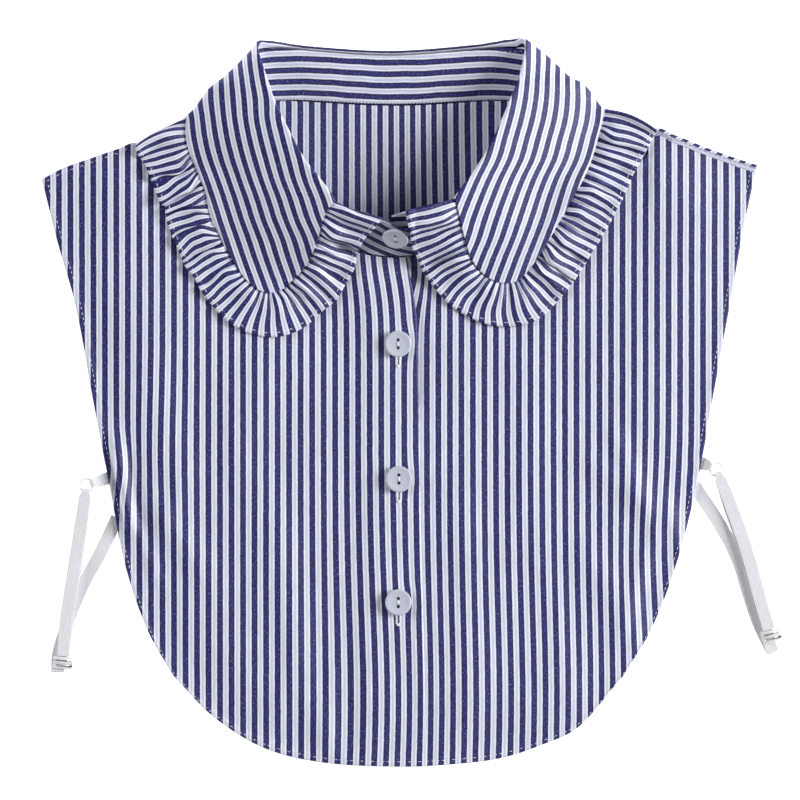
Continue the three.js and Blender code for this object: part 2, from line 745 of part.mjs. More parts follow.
function mesh(name, geometry, finish) {
  geometry.computeVertexNormals();
  const made = new THREE.Mesh(geometry, new THREE.MeshStandardMaterial(finish));
  made.name = name;
  return made;
}

// The right front with a slit under each button
function rightFrontWithSlits() {
  let solid = toSolid(sheet(rightFront, CELLS.front));
  BUTTONS.forEach((button) => {
    const slit = new THREE.BoxGeometry(BUTTONHOLE.width, BUTTONHOLE.length, BUTTONHOLE.depth);
    const y = button.y - BUTTONHOLE.drop;
    slit.translate(button.x, y, rightFrontHeight(button.x, y));
    solid = solid.subtract(toSolid(weld(slit)));
  });
  return toGeometry(solid);
}

// Two-hole button with a raised rim, its underside at z = 0
function buttonGeometry() {
  const { radius, height, rim, dish } = BUTTON;
  const profile = [
    [0, 0], [radius * 0.72, 0], [radius, height * 0.45], [radius, height * 0.72],
    [radius - rim * 0.6, height], [radius - rim * 1.5, height], [radius - rim * 2.3, height - dish],
    [0, height - dish],
  ].map(([x, y]) => new THREE.Vector2(x, y));
  const body = new THREE.LatheGeometry(profile, BUTTON.sides);
  body.rotateX(Math.PI / 2);
  let solid = toSolid(weld(body));
  [-1, 1].forEach((side) => {
    const hole = new THREE.CylinderGeometry(BUTTON.hole, BUTTON.hole, height * 3, 8);
    hole.rotateX(Math.PI / 2);
    hole.translate(0, side * BUTTON.spread, 0);
    solid = solid.subtract(toSolid(weld(hole)));
  });
  return toGeometry(solid);
}

function placeOn(object, point, normal) {
  object.quaternion.setFromUnitVectors(new THREE.Vector3(0, 0, 1), normal);
  object.position.copy(point);
  return object;
}

function buttons() {
  const group = new THREE.Group();
  const onStand = (() => {
    const u = (STAND_ENDS.right - COLLAR_BUTTON.turn) / (STAND_ENDS.right - STAND_ENDS.left);
    const v = COLLAR_BUTTON.across;
    const normal = surfaceNormal(stand, u, v);
    if (normal.z < 0) normal.negate();
    return { point: stand(u, v), normal };
  })();
  const onPanel = BUTTONS.map(({ x, y }) => {
    const step = BUTTON.spread;
    const slopeX = (rightFrontHeight(x + step, y) - rightFrontHeight(x - step, y)) / (2 * step);
    const slopeY = (rightFrontHeight(x, y + step) - rightFrontHeight(x, y - step)) / (2 * step);
    return {
      point: new THREE.Vector3(x, y, rightFrontHeight(x, y)),
      normal: new THREE.Vector3(-slopeX, -slopeY, 1).normalize(),
    };
  });
  [onStand, ...onPanel].forEach(({ point, normal }, i) => {
    const made = mesh(`button_${i + 1}`, buttonGeometry(), FINISH.buttonWhite);
    group.add(placeOn(made, point.addScaledVector(normal, CLOTH / 2 + BUTTON.gap), normal));
  });
  return group;
}

// Flat band of even thickness along stations that hold a place and a width
function band(stations) {
  const points = stations.map((station) => station.point);
  const curve = new THREE.CatmullRomCurve3(points, false, 'centripetal');
  const count = stations.length - 1;
  const frames = [];
  let side = null;
  for (let i = 0; i <= count; i += 1) {
    const tangent = curve.getTangent(i / count);
    const flat = new THREE.Vector3(-tangent.y, tangent.x, 0);
    const next = flat.length() > 0.35 ? flat.normalize() : side.clone();
    if (side && next.dot(side) < 0) next.negate();
    side = next;
    frames.push({ tangent, side: next, normal: tangent.clone().cross(next).normalize() });
  }
  const geometry = new THREE.BoxGeometry(1, 1, 1, count, 1, 1);
  const position = geometry.attributes.position;
  for (let i = 0; i < position.count; i += 1) {
    const k = Math.round((position.getX(i) + 0.5) * count);
    const point = points[k].clone()
      .addScaledVector(frames[k].side, position.getY(i) * stations[k].width)
      .addScaledVector(frames[k].normal, position.getZ(i) * ELASTIC.thickness);
    position.setXYZ(i, point.x, point.y, point.z);
  }
  return weld(geometry);
}

// Half turn of a band round a level axis, from one height to another
function halfTurn(centre, heading, radius, upwards, width) {
  const steps = 6;
  const stations = [];
  for (let i = 0; i <= steps; i += 1) {
    const angle = (Math.PI * i) / steps - Math.PI / 2;
    const z = centre.z + radius * Math.sin(angle) * (upwards ? 1 : -1);
    const point = centre.clone().addScaledVector(heading, radius * Math.cos(angle)).setZ(z);
    stations.push({ point, width });
  }
  return stations;
}

function eyeCentre(ring, towards) {
  const heading = new THREE.Vector3(towards[0] - ring[0], towards[1] - ring[1], 0).normalize();
  return {
    heading,
    point: new THREE.Vector3(ring[0], ring[1], RING.z).addScaledVector(heading, RING.radius),
  };
}

function strap(route) {
  const flat = (points, z) => points.map(([x, y]) => ({ point: new THREE.Vector3(x, y, z), width: ELASTIC.width }));
  const loopAt = new THREE.Vector3(route.loop[0], route.loop[1], (RUNS.low + RUNS.middle) / 2);
  const beforeLoop = route.low.at(-1);
  const loopHeading = new THREE.Vector3(loopAt.x - beforeLoop[0], loopAt.y - beforeLoop[1], 0).normalize();
  const eye = eyeCentre(route.ring, route.high[0]);
  const bend = EYE.radius + ELASTIC.thickness / 2;
  const nearRing = eye.point.clone().addScaledVector(eye.heading, 4.5);
  const beside = (z) => ({ point: nearRing.clone().setZ(z), width: mix(ELASTIC.neck, ELASTIC.width, 0.7) });
  return band([
    ...flat([route.anchor, ...route.low], RUNS.low),
    ...halfTurn(loopAt, loopHeading, (RUNS.middle - RUNS.low) / 2, true, ELASTIC.width),
    ...flat(route.middle, RUNS.middle),
    beside(mix(RUNS.middle, RING.z - bend, 0.6)),
    ...halfTurn(eye.point, eye.heading.clone().negate(), bend, true, ELASTIC.neck),
    beside(mix(RUNS.high, RING.z + bend, 0.6)),
    ...flat(route.high, RUNS.high),
  ]);
}

// Folded elastic tab whose eye holds the ring
function tab(route) {
  const from = new THREE.Vector3(route.tabFrom[0], route.tabFrom[1], RING.z);
  const eye = eyeCentre(route.ring, route.tabFrom);
  const length = from.distanceTo(eye.point);
  const outer = EYE.radius + EYE.wall;
  const half = EYE.wall;
  const shape = new THREE.Shape();
  shape.moveTo(length, half);
  const meet = Math.asin(half / outer);
  shape.absarc(0, 0, outer, meet, 2 * Math.PI - meet, false);
  shape.lineTo(length, -half);
  shape.closePath();
  const hole = new THREE.Path();
  hole.absarc(0, 0, EYE.radius, 0, 2 * Math.PI, true);
  shape.holes.push(hole);
  const geometry = new THREE.ExtrudeGeometry(shape, { depth: 1, steps: 1, bevelEnabled: false, curveSegments: 8 });
  const position = geometry.attributes.position;
  for (let i = 0; i < position.count; i += 1) {
    const x = position.getX(i);
    const spread = mix(ELASTIC.neck, ELASTIC.width, ease((x - outer) / Math.max(length - outer, 1)));
    position.setZ(i, (position.getZ(i) - 0.5) * spread);
  }
  const welded = weld(geometry);
  const side = new THREE.Vector3(0, 0, 1).cross(eye.heading);
  const basis = new THREE.Matrix4().makeBasis(eye.heading, new THREE.Vector3(0, 0, 1), side.negate());
  welded.applyMatrix4(basis.setPosition(eye.point));
  return welded;
}

function ringGeometry(route) {
  const geometry = new THREE.TorusGeometry(RING.radius, RING.wire, RING.sides, RING.segments);
  geometry.translate(route.ring[0], route.ring[1], RING.z);
  return weld(geometry);
}

// Flat frame with a middle bar, lying over the doubled strap
function sliderGeometry(route) {
  const end = new THREE.Vector2(...route.high.at(-1));
  const before = new THREE.Vector2(...route.high.at(-2));
  const heading = end.clone().sub(before).normalize();
  const { length, width, bar } = SLIDER;
  const shape = new THREE.Shape();
  const corner = bar / 2;
  shape.moveTo(-width / 2 + corner, 0);
  shape.lineTo(width / 2 - corner, 0);
  shape.quadraticCurveTo(width / 2, 0, width / 2, corner);
  shape.lineTo(width / 2, length - corner);
  shape.quadraticCurveTo(width / 2, length, width / 2 - corner, length);
  shape.lineTo(-width / 2 + corner, length);
  shape.quadraticCurveTo(-width / 2, length, -width / 2, length - corner);
  shape.lineTo(-width / 2, corner);
  shape.quadraticCurveTo(-width / 2, 0, -width / 2 + corner, 0);
  const windowLength = (length - 3 * bar) / 2;
  [bar, 2 * bar + windowLength].forEach((from) => {
    const opening = new THREE.Path();
    opening.moveTo(-width / 2 + bar, from);
    opening.lineTo(-width / 2 + bar, from + windowLength);
    opening.lineTo(width / 2 - bar, from + windowLength);
    opening.lineTo(width / 2 - bar, from);
    opening.closePath();
    shape.holes.push(opening);
  });
  const geometry = new THREE.ExtrudeGeometry(shape, { depth: SLIDER.height, bevelEnabled: false, curveSegments: 3 });
  geometry.rotateZ(Math.atan2(heading.y, heading.x) - Math.PI / 2);
  geometry.translate(end.x + heading.x * GAP, end.y + heading.y * GAP, SLIDER.lift - SLIDER.height / 2 + 0.25);
  return weld(geometry);
}

const collar = new THREE.Group();
const body = new THREE.Group();
body.add(mesh('back_panel', sheet(backPanel, CELLS.back), FINISH.stripedCotton));
body.add(mesh('front_left', sheet(leftFront, CELLS.front), FINISH.stripedCotton));
body.add(mesh('front_right', rightFrontWithSlits(), FINISH.stripedCotton));
collar.add(body);

const neck = new THREE.Group();
neck.add(mesh('collar_stand', sheet(stand, CELLS.stand), FINISH.stripedCotton));
neck.add(mesh('collar_leaf', sheet(leafByCells, CELLS.leaf, LEAF_REACH), FINISH.stripedCotton));
neck.add(mesh('frill', sheet(frill(leafRim(2 * CELLS.frill[0])), CELLS.frill), FINISH.stripedCotton));
collar.add(neck);

collar.add(buttons());
Object.entries(STRAPS).forEach(([side, route]) => {
  const group = new THREE.Group();
  group.add(mesh(`tab_${side}`, tab(route), FINISH.elasticWhite));
  group.add(mesh(`ring_${side}`, ringGeometry(route), FINISH.hardwareWhite));
  group.add(mesh(`strap_${side}`, strap(route), FINISH.elasticWhite));
  group.add(mesh(`slider_${side}`, sliderGeometry(route), FINISH.hardwareWhite));
  collar.add(group);
});

export default collar;
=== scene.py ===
"""Detachable striped shirt collar with a short bib, lying flat with its front up.

Sizes are in millimetres (mm) in the tables and become metres when a mesh is made.
Right and left are the wearer's, so the right half has negative X.
"""
import logging
import math
from bisect import bisect_left, bisect_right
from dataclasses import dataclass, field
from enum import Enum
from typing import Callable, Iterable, Sequence

import bmesh
import bpy
from bmesh.types import BMesh, BMFace
from bpy.types import ID, Material, Modifier, Node, NodeOutputs, NodeSocket, NodeTree, Object
from mathutils import Matrix, Vector, noise


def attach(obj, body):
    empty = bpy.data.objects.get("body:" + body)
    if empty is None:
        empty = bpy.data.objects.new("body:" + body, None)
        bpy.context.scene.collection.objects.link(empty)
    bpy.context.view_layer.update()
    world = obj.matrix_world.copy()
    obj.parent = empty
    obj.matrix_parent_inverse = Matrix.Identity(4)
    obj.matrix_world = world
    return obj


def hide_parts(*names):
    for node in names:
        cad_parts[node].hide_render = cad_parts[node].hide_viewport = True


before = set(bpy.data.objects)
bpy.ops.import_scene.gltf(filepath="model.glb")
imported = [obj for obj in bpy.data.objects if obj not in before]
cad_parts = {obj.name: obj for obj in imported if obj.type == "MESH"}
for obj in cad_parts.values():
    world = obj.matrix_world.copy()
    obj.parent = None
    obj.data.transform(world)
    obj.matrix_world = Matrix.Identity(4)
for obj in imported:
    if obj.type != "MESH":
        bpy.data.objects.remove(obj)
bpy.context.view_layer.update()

MM = 0.001
ROOT = "root"
STRIPE_PITCH = 5.4625
CLOTH = 1.0
GAP = 0.35
TINY = 1e-6
MERGE = 1e-7
LAYER = CLOTH + GAP

log = logging.getLogger("collar")

Pair = tuple[float, float]
Colour = tuple[float, float, float]
Rows = tuple[tuple[float, ...], ...]
Stations = list[tuple[Vector, float]]
Surface = Callable[[float, float], Vector]
Border = Callable[[float], Pair]
FlatMap = Callable[[float, float, Vector, Sequence[float]], Pair]


class Side(Enum):
    """The wearer's right or left."""

    RIGHT = "right"
    LEFT = "left"


class Slot(Enum):
    """Material slots."""

    COTTON = "cotton"
    BUTTON = "button"
    ELASTIC = "elastic"
    HARDWARE = "hardware"


# Small sums

def mix(a: float, b: float, t: float) -> float:
    """Value between a and b."""
    return a + (b - a) * t


def clamp(x: float, low: float, high: float) -> float:
    """x kept between two limits."""
    return max(low, min(high, x))


def ease(t: float) -> float:
    """Smooth step from 0 to 1."""
    t = clamp(t, 0.0, 1.0)
    return t * t * (3.0 - 2.0 * t)


def find_step(share: float, steps: int) -> tuple[int, float]:
    """Find which of some even steps a share falls in.

    Args:
        share: Share of the whole.
        steps: How many steps the whole has.

    Returns:
        The step and how far into it the share lies.
    """
    at = share * steps
    i = min(int(at), steps - 1)
    return i, at - i


def crest(turns: float, power: float) -> float:
    """Height of a wave from 0 to 1, wider at the top for a smaller power."""
    return (0.5 - 0.5 * math.cos(2 * math.pi * turns)) ** power


def soft_max(a: float, b: float, blend: float) -> float:
    """Larger of two heights with a soft change between them."""
    d = clamp(0.5 + 0.5 * (a - b) / blend, 0.0, 1.0)
    return mix(b, a, d) + blend * d * (1.0 - d)


def soft_noise(x: float, y: float, z: float) -> float:
    """Smooth noise from -1 to 1. A plain number among the three only picks the pattern."""
    return noise.noise(Vector((x, y, z)))


def heading_vector(degrees: float) -> Vector:
    """Level unit vector at a heading."""
    return Vector((math.cos(math.radians(degrees)), math.sin(math.radians(degrees)), 0.0))


class Table:
    """Rows with named columns, read smoothly between the rows."""

    def __init__(self, columns: Sequence[str], *rows: Sequence[float]) -> None:
        """Keep each column as a list.

        Args:
            columns: Names of the columns.
            rows: One sequence of numbers a row.
        """
        self.count = len(rows)
        self.lists = {name: [row[i] for row in rows] for i, name in enumerate(columns)}
        self.slopes: dict[tuple[str, str], list[float]] = {}

    def slope(self, key: str, name: str) -> list[float]:
        """Slope of a column at each row."""
        if (key, name) not in self.slopes:
            keys, values = self.lists[key], self.lists[name]
            last = self.count - 1
            ends = [(max(j - 1, 0), min(j + 1, last)) for j in range(self.count)]
            self.slopes[key, name] = [(values[b] - values[a]) / (keys[b] - keys[a]) for a, b in ends]
        return self.slopes[key, name]

    def read(self, key: str, name: str, at: float) -> float:
        """Smooth value of a column.

        Args:
            key: Column that is looked up.
            name: Column that is read.
            at: Place on the key column, held inside the table's ends.

        Returns:
            The value there.
        """
        keys, values, slopes = self.lists[key], self.lists[name], self.slope(key, name)
        i = bisect_left(keys, at, 1, self.count - 1) - 1
        span = keys[i + 1] - keys[i]
        t = clamp((at - keys[i]) / span, 0.0, 1.0)
        h = t * t * (3.0 - 2.0 * t)
        start = (t * t * t - 2.0 * t * t + t) * span * slopes[i]
        end = (t * t * t - t * t) * span * slopes[i + 1]
        return values[i] * (1.0 - h) + values[i + 1] * h + start + end


def table(columns: Sequence[str], *rows: Sequence[float]) -> Table:
    """Dataclass field that holds a table."""
    return field(default_factory=lambda: Table(columns, *rows))


class SmoothCurve:
    """Centripetal curve through points, with its length evenly spread."""

    def __init__(self, points: Sequence[Vector], divisions: int = 48) -> None:
        """Measure the curve.

        Args:
            points: Points that it passes through.
            divisions: Steps that its length is measured in.
        """
        self.points = list(points)
        self.divisions = divisions
        self.samples = [self.at(i / divisions) for i in range(divisions + 1)]
        self.lengths = [0.0]
        for a, b in zip(self.samples, self.samples[1:]):
            self.lengths.append(self.lengths[-1] + (b - a).length)

    @property
    def length(self) -> float:
        """Length of the whole curve."""
        return self.lengths[-1]

    def at(self, t: float) -> Vector:
        """Point at a share of the points' count.

        Args:
            t: 0 at the first point, 1 at the last.

        Returns:
            The point.
        """
        pts = self.points
        last = len(pts) - 1
        i, w = find_step(t, last)
        p1, p2 = pts[i], pts[i + 1]
        p0 = pts[i - 1] if i > 0 else p1 * 2.0 - p2
        p3 = pts[i + 2] if i + 2 <= last else p2 * 2.0 - p1
        d0, d1, d2 = (max((b - a).length, TINY) ** 0.5 for a, b in ((p0, p1), (p1, p2), (p2, p3)))
        m1 = ((p1 - p0) / d0 - (p2 - p0) / (d0 + d1) + (p2 - p1) / d1) * d1
        m2 = ((p2 - p1) / d1 - (p3 - p1) / (d1 + d2) + (p3 - p2) / d2) * d1
        w2, w3 = w * w, w * w * w
        return (
            p1 * (2 * w3 - 3 * w2 + 1) + m1 * (w3 - 2 * w2 + w)
            + p2 * (3 * w2 - 2 * w3) + m2 * (w3 - w2)
        )

    def even(self, share: float) -> Vector:
        """Point at a share of the length."""
        goal = share * self.length
        low = max(bisect_right(self.lengths, goal, 0, self.divisions) - 1, 0)
        span = self.lengths[low + 1] - self.lengths[low]
        part = (goal - self.lengths[low]) / span if span > 0 else 0.0
        return self.at((low + part) / self.divisions)


# Shape of the bib

@dataclass
class Neckline:
    """Half ellipse in front, shallow curve behind."""

    x: float = -3.0
    y: float = 141.0
    half_width: float = 68.25
    depth: float = 73.5
    back_dip: float = 1.4
    back_rise: float = 1.8

    def point(self, turn: float, offset: float = 0.0) -> Pair:
        """Place on the neckline.

        Args:
            turn: Degrees round the neck; 270 or -90 is the front.
            offset: Distance inwards.

        Returns:
            X and Y.
        """
        c, s = math.cos(math.radians(turn)), math.sin(math.radians(turn))
        x = self.x + (self.half_width - offset) * c
        if s < 0:
            return x, self.y + (self.depth - offset) * s
        rise = self.back_rise * 4.0 * s * s * c * c
        return x, self.y - self.back_dip * s + rise + offset * s

    def around(self, x: float, y: float) -> float:
        """1 on the neckline, less inside it."""
        return math.hypot((x - self.x) / self.half_width, (y - self.y) / self.depth)


class Patch:
    """Places inside four border curves that share their corners."""

    def __init__(self, bottom: Border, top: Border, near: Border, far: Border) -> None:
        """Keep the borders and their corners.

        Args:
            bottom: Border at v = 0.
            top: Border at v = 1.
            near: Border at u = 0.
            far: Border at u = 1.
        """
        self.borders = (bottom, top, near, far)
        self.corners = (bottom(0.0), bottom(1.0), top(0.0), top(1.0))
        self.known: dict[tuple[int, float], Pair] = {}

    def border(self, which: int, at: float) -> Pair:
        """Place on one border, worked out once."""
        key = (which, at)
        if key not in self.known:
            self.known[key] = self.borders[which](at)
        return self.known[key]

    def place(self, u: float, v: float) -> Pair:
        """X and Y at u along and v up.

        Args:
            u: Share from near to far.
            v: Share from bottom to top.

        Returns:
            X and Y.
        """
        b, t, l, r = self.border(0, u), self.border(1, u), self.border(2, v), self.border(3, v)
        c00, c10, c01, c11 = self.corners
        found = []
        for i in (0, 1):
            corner = (
                (1 - u) * (1 - v) * c00[i] + u * (1 - v) * c10[i] + (1 - u) * v * c01[i] + u * v * c11[i]
            )
            found.append((1 - v) * b[i] + v * t[i] + (1 - u) * l[i] + u * r[i] - corner)
        return found[0], found[1]


@dataclass
class BibShape:
    """Outline and height of the panels, as the solids have them."""

    neck: Neckline = field(default_factory=Neckline)
    armhole: Table = table(
        ("y", "right", "left"),
        (-131, -107.5, 106), (-110, -119.5, 119), (-80, -130, 131), (-40, -138, 141.5),
        (0, -145.7, 149), (45, -154, 157.5), (75, -162.5, 163), (105, -170, 169.5),
    )
    hem: Table = table(
        ("x", "y"),
        (-107.5, -131), (-89, -150), (-65, -165), (-37, -172), (0, -174),
        (24, -173), (48, -170), (68, -163.5), (85, -155), (106, -131),
    )
    right_shoulder: Table = table(
        ("x", "y"),
        (-170, 104.8), (-160, 110), (-147, 114.6), (-134, 119.0), (-124, 121.4),
        (-121.4, 111), (-112, 110), (-101, 116), (-88, 127), (-71.25, 141),
    )
    left_shoulder: Table = table(
        ("x", "y"),
        (65.25, 141), (81, 131), (95, 121.5), (107, 115.5), (117.2, 115.5),
        (120.4, 128.2), (131, 125.6), (144, 120.5), (157, 115.8), (170, 111.6),
    )
    button_edge: Table = table(
        ("y", "x"), (-174, 12.8), (-40, 9.5), (28, 8.3), (43, 7.5), (67.6, 3.1),
    )
    corner_right: float = -107.5
    corner_left: float = 106.0
    corner_y: float = -131.0
    shoulder_y: float = 105.0
    shoulder_half: float = 169.5
    tip_right: float = 104.8
    tip_left: float = 111.6
    lap_foot: Pair = (12.8, -174.0)
    lap_top_y: float = 67.6
    underlap_edge: float = -10.0
    neck_end_right: float = 275.1
    neck_end_left: float = -95.9
    back_inset: float = 1.4
    back_columns: int = 26
    room_height: float = 3.3
    room_from: float = 56.0
    room_run: float = 56.0
    room_tip: float = 172.0
    room_tip_run: float = 50.0
    pillow: float = 1.8
    pillow_run: float = 35.0
    rise_height: float = 3.6
    rise_reach: float = 26.0
    lap_reach: float = 28.0
    lap_run: float = 16.0
    lap_room: float = 0.65
    lap_step: float = LAYER + 0.1
    lap_margin: float = 3.0
    edge_fade: float = 6.0
    ridges: Rows = (
        (-136, -22, -131, -62, 5, 1.6),
        (-118, -48, -97, -78, 7, 1.3),
        (-58, -64, -50, -116, 8, 1.2),
        (-40, -150, -30, -170, 8, 1.0),
        (-126, 30, -112, -20, 11, 1.0),
        (-66, 40, -74, -30, 12, 0.8),
        (60, 40, 66, -60, 12, 0.8),
        (96, -34, 128, -58, 7, 1.3),
        (92, -78, 112, -112, 8, 1.2),
        (30, -60, 34, -140, 9, 0.9),
    )
    creases: Rows = (
        (-133.4, -26, -128.2, -58, 2.4, 3.0), (-129, -52, -116, -84, 2.6, 0.8),
        (-137.2, -28, -131.2, -56, 1.25, -1.7),
        (103, -20, 121, -62, 4.5, 1.1), (118, -70, 104, -112, 4.5, 0.9),
        (126, -48, 133, -74, 3.0, 0.8), (-104, -40, -118, -76, 4.5, 0.6),
        (-48, -112, -56, -148, 5.0, 0.6), (-31, -128, -36, -160, 4.0, 0.5),
        (-20, 62, -13, 30, 4.0, 0.45), (-29, 60, -24, 26, 4.0, 0.4),
        (60, -20, 52, -70, 6.0, 0.5), (72, -90, 80, -140, 6.0, 0.5),
        (-84, 20, -78, -30, 6.0, 0.5), (-140, 60, -134, 10, 5.0, 0.5),
    )
    slow_wave: Pair = (27.0, 52.0)
    slow_height: float = 0.45
    quick_wave: Pair = (9.0, 24.0)
    quick_height: float = 0.18
    buttons: tuple[Pair, ...] = ((-0.9, 26.7), (-0.5, -37.5), (-0.8, -96.0))

    def __post_init__(self) -> None:
        """Lay out the three panels."""
        self.right = Patch(
            lambda s: self.hem_point(mix(self.corner_right, self.lap_foot[0], s)), self.right_top,
            lambda t: self.armhole_point(Side.RIGHT, t), self.button_edge_point,
        )
        left_low, left_high = self.hem_point(self.underlap_edge), self.left_top(0.0)
        self.left = Patch(
            lambda s: self.hem_point(mix(self.underlap_edge, self.corner_left, s)), self.left_top,
            lambda t: (mix(left_low[0], left_high[0], t), mix(left_low[1], left_high[1], t)),
            lambda t: self.armhole_point(Side.LEFT, t),
        )
        self.behind = Patch(
            lambda s: self.hem_point(mix(self.corner_right, self.corner_left, s)), self.back_top,
            lambda t: self.armhole_point(Side.RIGHT, t), lambda t: self.armhole_point(Side.LEFT, t),
        )

    def shoulder_point(self, rows: Table, t: float) -> Pair:
        """Place along a shoulder, one table row for each equal step.

        Args:
            rows: Table of the shoulder.
            t: Share of the table's rows.

        Returns:
            X and Y.
        """
        xs = rows.lists["x"]
        i, part = find_step(t, rows.count - 1)
        x = mix(xs[i], xs[i + 1], part)
        return x, rows.read("x", "y", x)

    def right_top(self, s: float) -> Pair:
        """Top line of the right front."""
        if s < 0.5:
            return self.shoulder_point(self.right_shoulder, 2 * s)
        return self.neck.point(mix(180, self.neck_end_right, 2 * s - 1))

    def left_top(self, s: float) -> Pair:
        """Top line of the left front."""
        if s > 0.5:
            return self.shoulder_point(self.left_shoulder, 2 * s - 1)
        return self.neck.point(mix(self.neck_end_left, 0, 2 * s))

    def back_top(self, s: float) -> Pair:
        """Top line of the back.

        Args:
            s: Share from the right tip to the left one.

        Returns:
            X and Y.
        """
        shoulder = (self.right_shoulder.count - 1) / self.back_columns
        if s < shoulder:
            return self.shoulder_point(self.right_shoulder, s / shoulder)
        if s > 1 - shoulder:
            return self.shoulder_point(self.left_shoulder, 1 - (1 - s) / shoulder)
        return self.neck.point(mix(180, 0, (s - shoulder) / (1 - 2 * shoulder)))

    def hem_point(self, x: float) -> Pair:
        """Place on the lower hem."""
        return x, self.hem.read("x", "y", x)

    def button_edge_point(self, t: float) -> Pair:
        """Place on the right front's buttoned edge."""
        y = mix(self.hem_point(self.lap_foot[0])[1], self.right_top(1.0)[1], t)
        return self.button_edge.read("y", "x", y), y

    def armhole_point(self, side: Side, t: float) -> Pair:
        """Place on an armhole edge from the low corner to the shoulder tip."""
        tip = self.tip_right if side is Side.RIGHT else self.tip_left
        row = mix(self.corner_y, self.shoulder_y, t)
        return self.armhole.read("y", side.value, row), mix(self.corner_y, tip, t)

    def back_height(self, x: float, y: float) -> float:
        """Middle of the back cloth."""
        along = ease((y - self.room_from) / self.room_run)
        across = ease((self.room_tip - abs(x)) / self.room_tip_run)
        return CLOTH / 2 + self.room_height * along * across

    def shoulder_height(self, x: float) -> float:
        """Y of the top line over an X."""
        if x < self.neck.x - self.neck.half_width:
            return self.right_shoulder.read("x", "y", x)
        if x > self.neck.x + self.neck.half_width:
            return self.left_shoulder.read("x", "y", x)
        return self.neck.y

    @staticmethod
    def ridge_height(ridge: Sequence[float], x: float, y: float) -> float:
        """Height of one soft ridge at a place.

        Args:
            ridge: Ends, half width and height of the ridge.
            x: X in mm.
            y: Y in mm.

        Returns:
            The height in mm.
        """
        x0, y0, x1, y1, width, height = ridge
        dx, dy = x1 - x0, y1 - y0
        length = math.hypot(dx, dy)
        across = ((x - x0) * dy - (y - y0) * dx) / length
        if abs(across) > 3 * width:
            return 0.0
        along = ((x - x0) * dx + (y - y0) * dy) / length
        past = max(0.0, -along, along - length)
        return height * math.exp(-((across / width) ** 2) - (past / (2 * width)) ** 2)

    def front_height(self, x: float, y: float) -> float:
        """Middle of the front cloth where the halves don't overlap.

        Args:
            x: X in mm.
            y: Y in mm.

        Returns:
            The height in mm.
        """
        side = "right" if x < 0 else "left"
        from_side = abs(self.armhole.read("y", side, clamp(y, self.corner_y, self.shoulder_y))) - abs(x)
        from_hem = y - self.hem.read("x", "y", clamp(x, self.corner_right, self.corner_left))
        from_top = self.shoulder_height(x) - y
        run = self.pillow_run
        inner = ease(from_side / run) * ease(from_hem / run) * ease(from_top / run)
        ridges = sum(self.ridge_height(ridge, x, y) for ridge in self.ridges)
        from_neck = max(0.0, self.neck.around(x, y) - 1) * self.neck.half_width
        near_neck = math.exp(-((from_neck / self.rise_reach) ** 2))
        rise = self.rise_height * near_neck * ease((self.neck.y - y) / run)
        middle = self.lap_room * ease((self.lap_reach - abs(x)) / self.lap_run)
        border = ease(min(from_side, from_hem) / self.edge_fade)
        return self.back_height(x, y) + LAYER + self.pillow * inner + rise + middle + ridges * border

    def lap(self, x: float) -> float:
        """Half the step between the lapped fronts."""
        return (self.lap_step / 2) * ease((self.lap_reach - abs(x)) / self.lap_run)

    def right_height(self, x: float, y: float) -> float:
        """Middle of the right front's cloth."""
        return self.front_height(x, y) + self.lap(x)

    def left_height(self, x: float, y: float) -> float:
        """Middle of the left front's cloth."""
        return self.front_height(x, y) - self.lap(x)

    def front_face(self, x: float, y: float) -> float:
        """Upper face of whichever front is on top."""
        edge = self.button_edge.read("y", "x", clamp(y, self.lap_foot[1], self.lap_top_y))
        on_right = x < edge + self.lap_margin
        return (self.right_height(x, y) if on_right else self.left_height(x, y)) + CLOTH / 2

    def relief(self, x: float, y: float) -> float:
        """Small uneven waves and creases of soft cloth."""
        slow = soft_noise(x / self.slow_wave[0], y / self.slow_wave[1], 1.7)
        quick = soft_noise(x / self.quick_wave[0], y / self.quick_wave[1], 5.2)
        creases = sum(self.ridge_height(crease, x, y) for crease in self.creases)
        return self.slow_height * slow + self.quick_height * quick + creases

    def right_front(self, u: float, v: float) -> Vector:
        """Middle surface of the right front."""
        x, y = self.right.place(u, v)
        return Vector((x, y, self.right_height(x, y)))

    def left_front(self, u: float, v: float) -> Vector:
        """Middle surface of the left front."""
        x, y = self.left.place(u, v)
        return Vector((x, y, self.left_height(x, y)))

    def back(self, u: float, v: float) -> Vector:
        """Middle surface of the back."""
        x, y = self.behind.place(u, v)
        inset = 1 - self.back_inset / self.shoulder_half
        x *= inset
        y = y * inset if y < 0 else y
        return Vector((x, y, self.back_height(x, y)))


# Shape of the collar

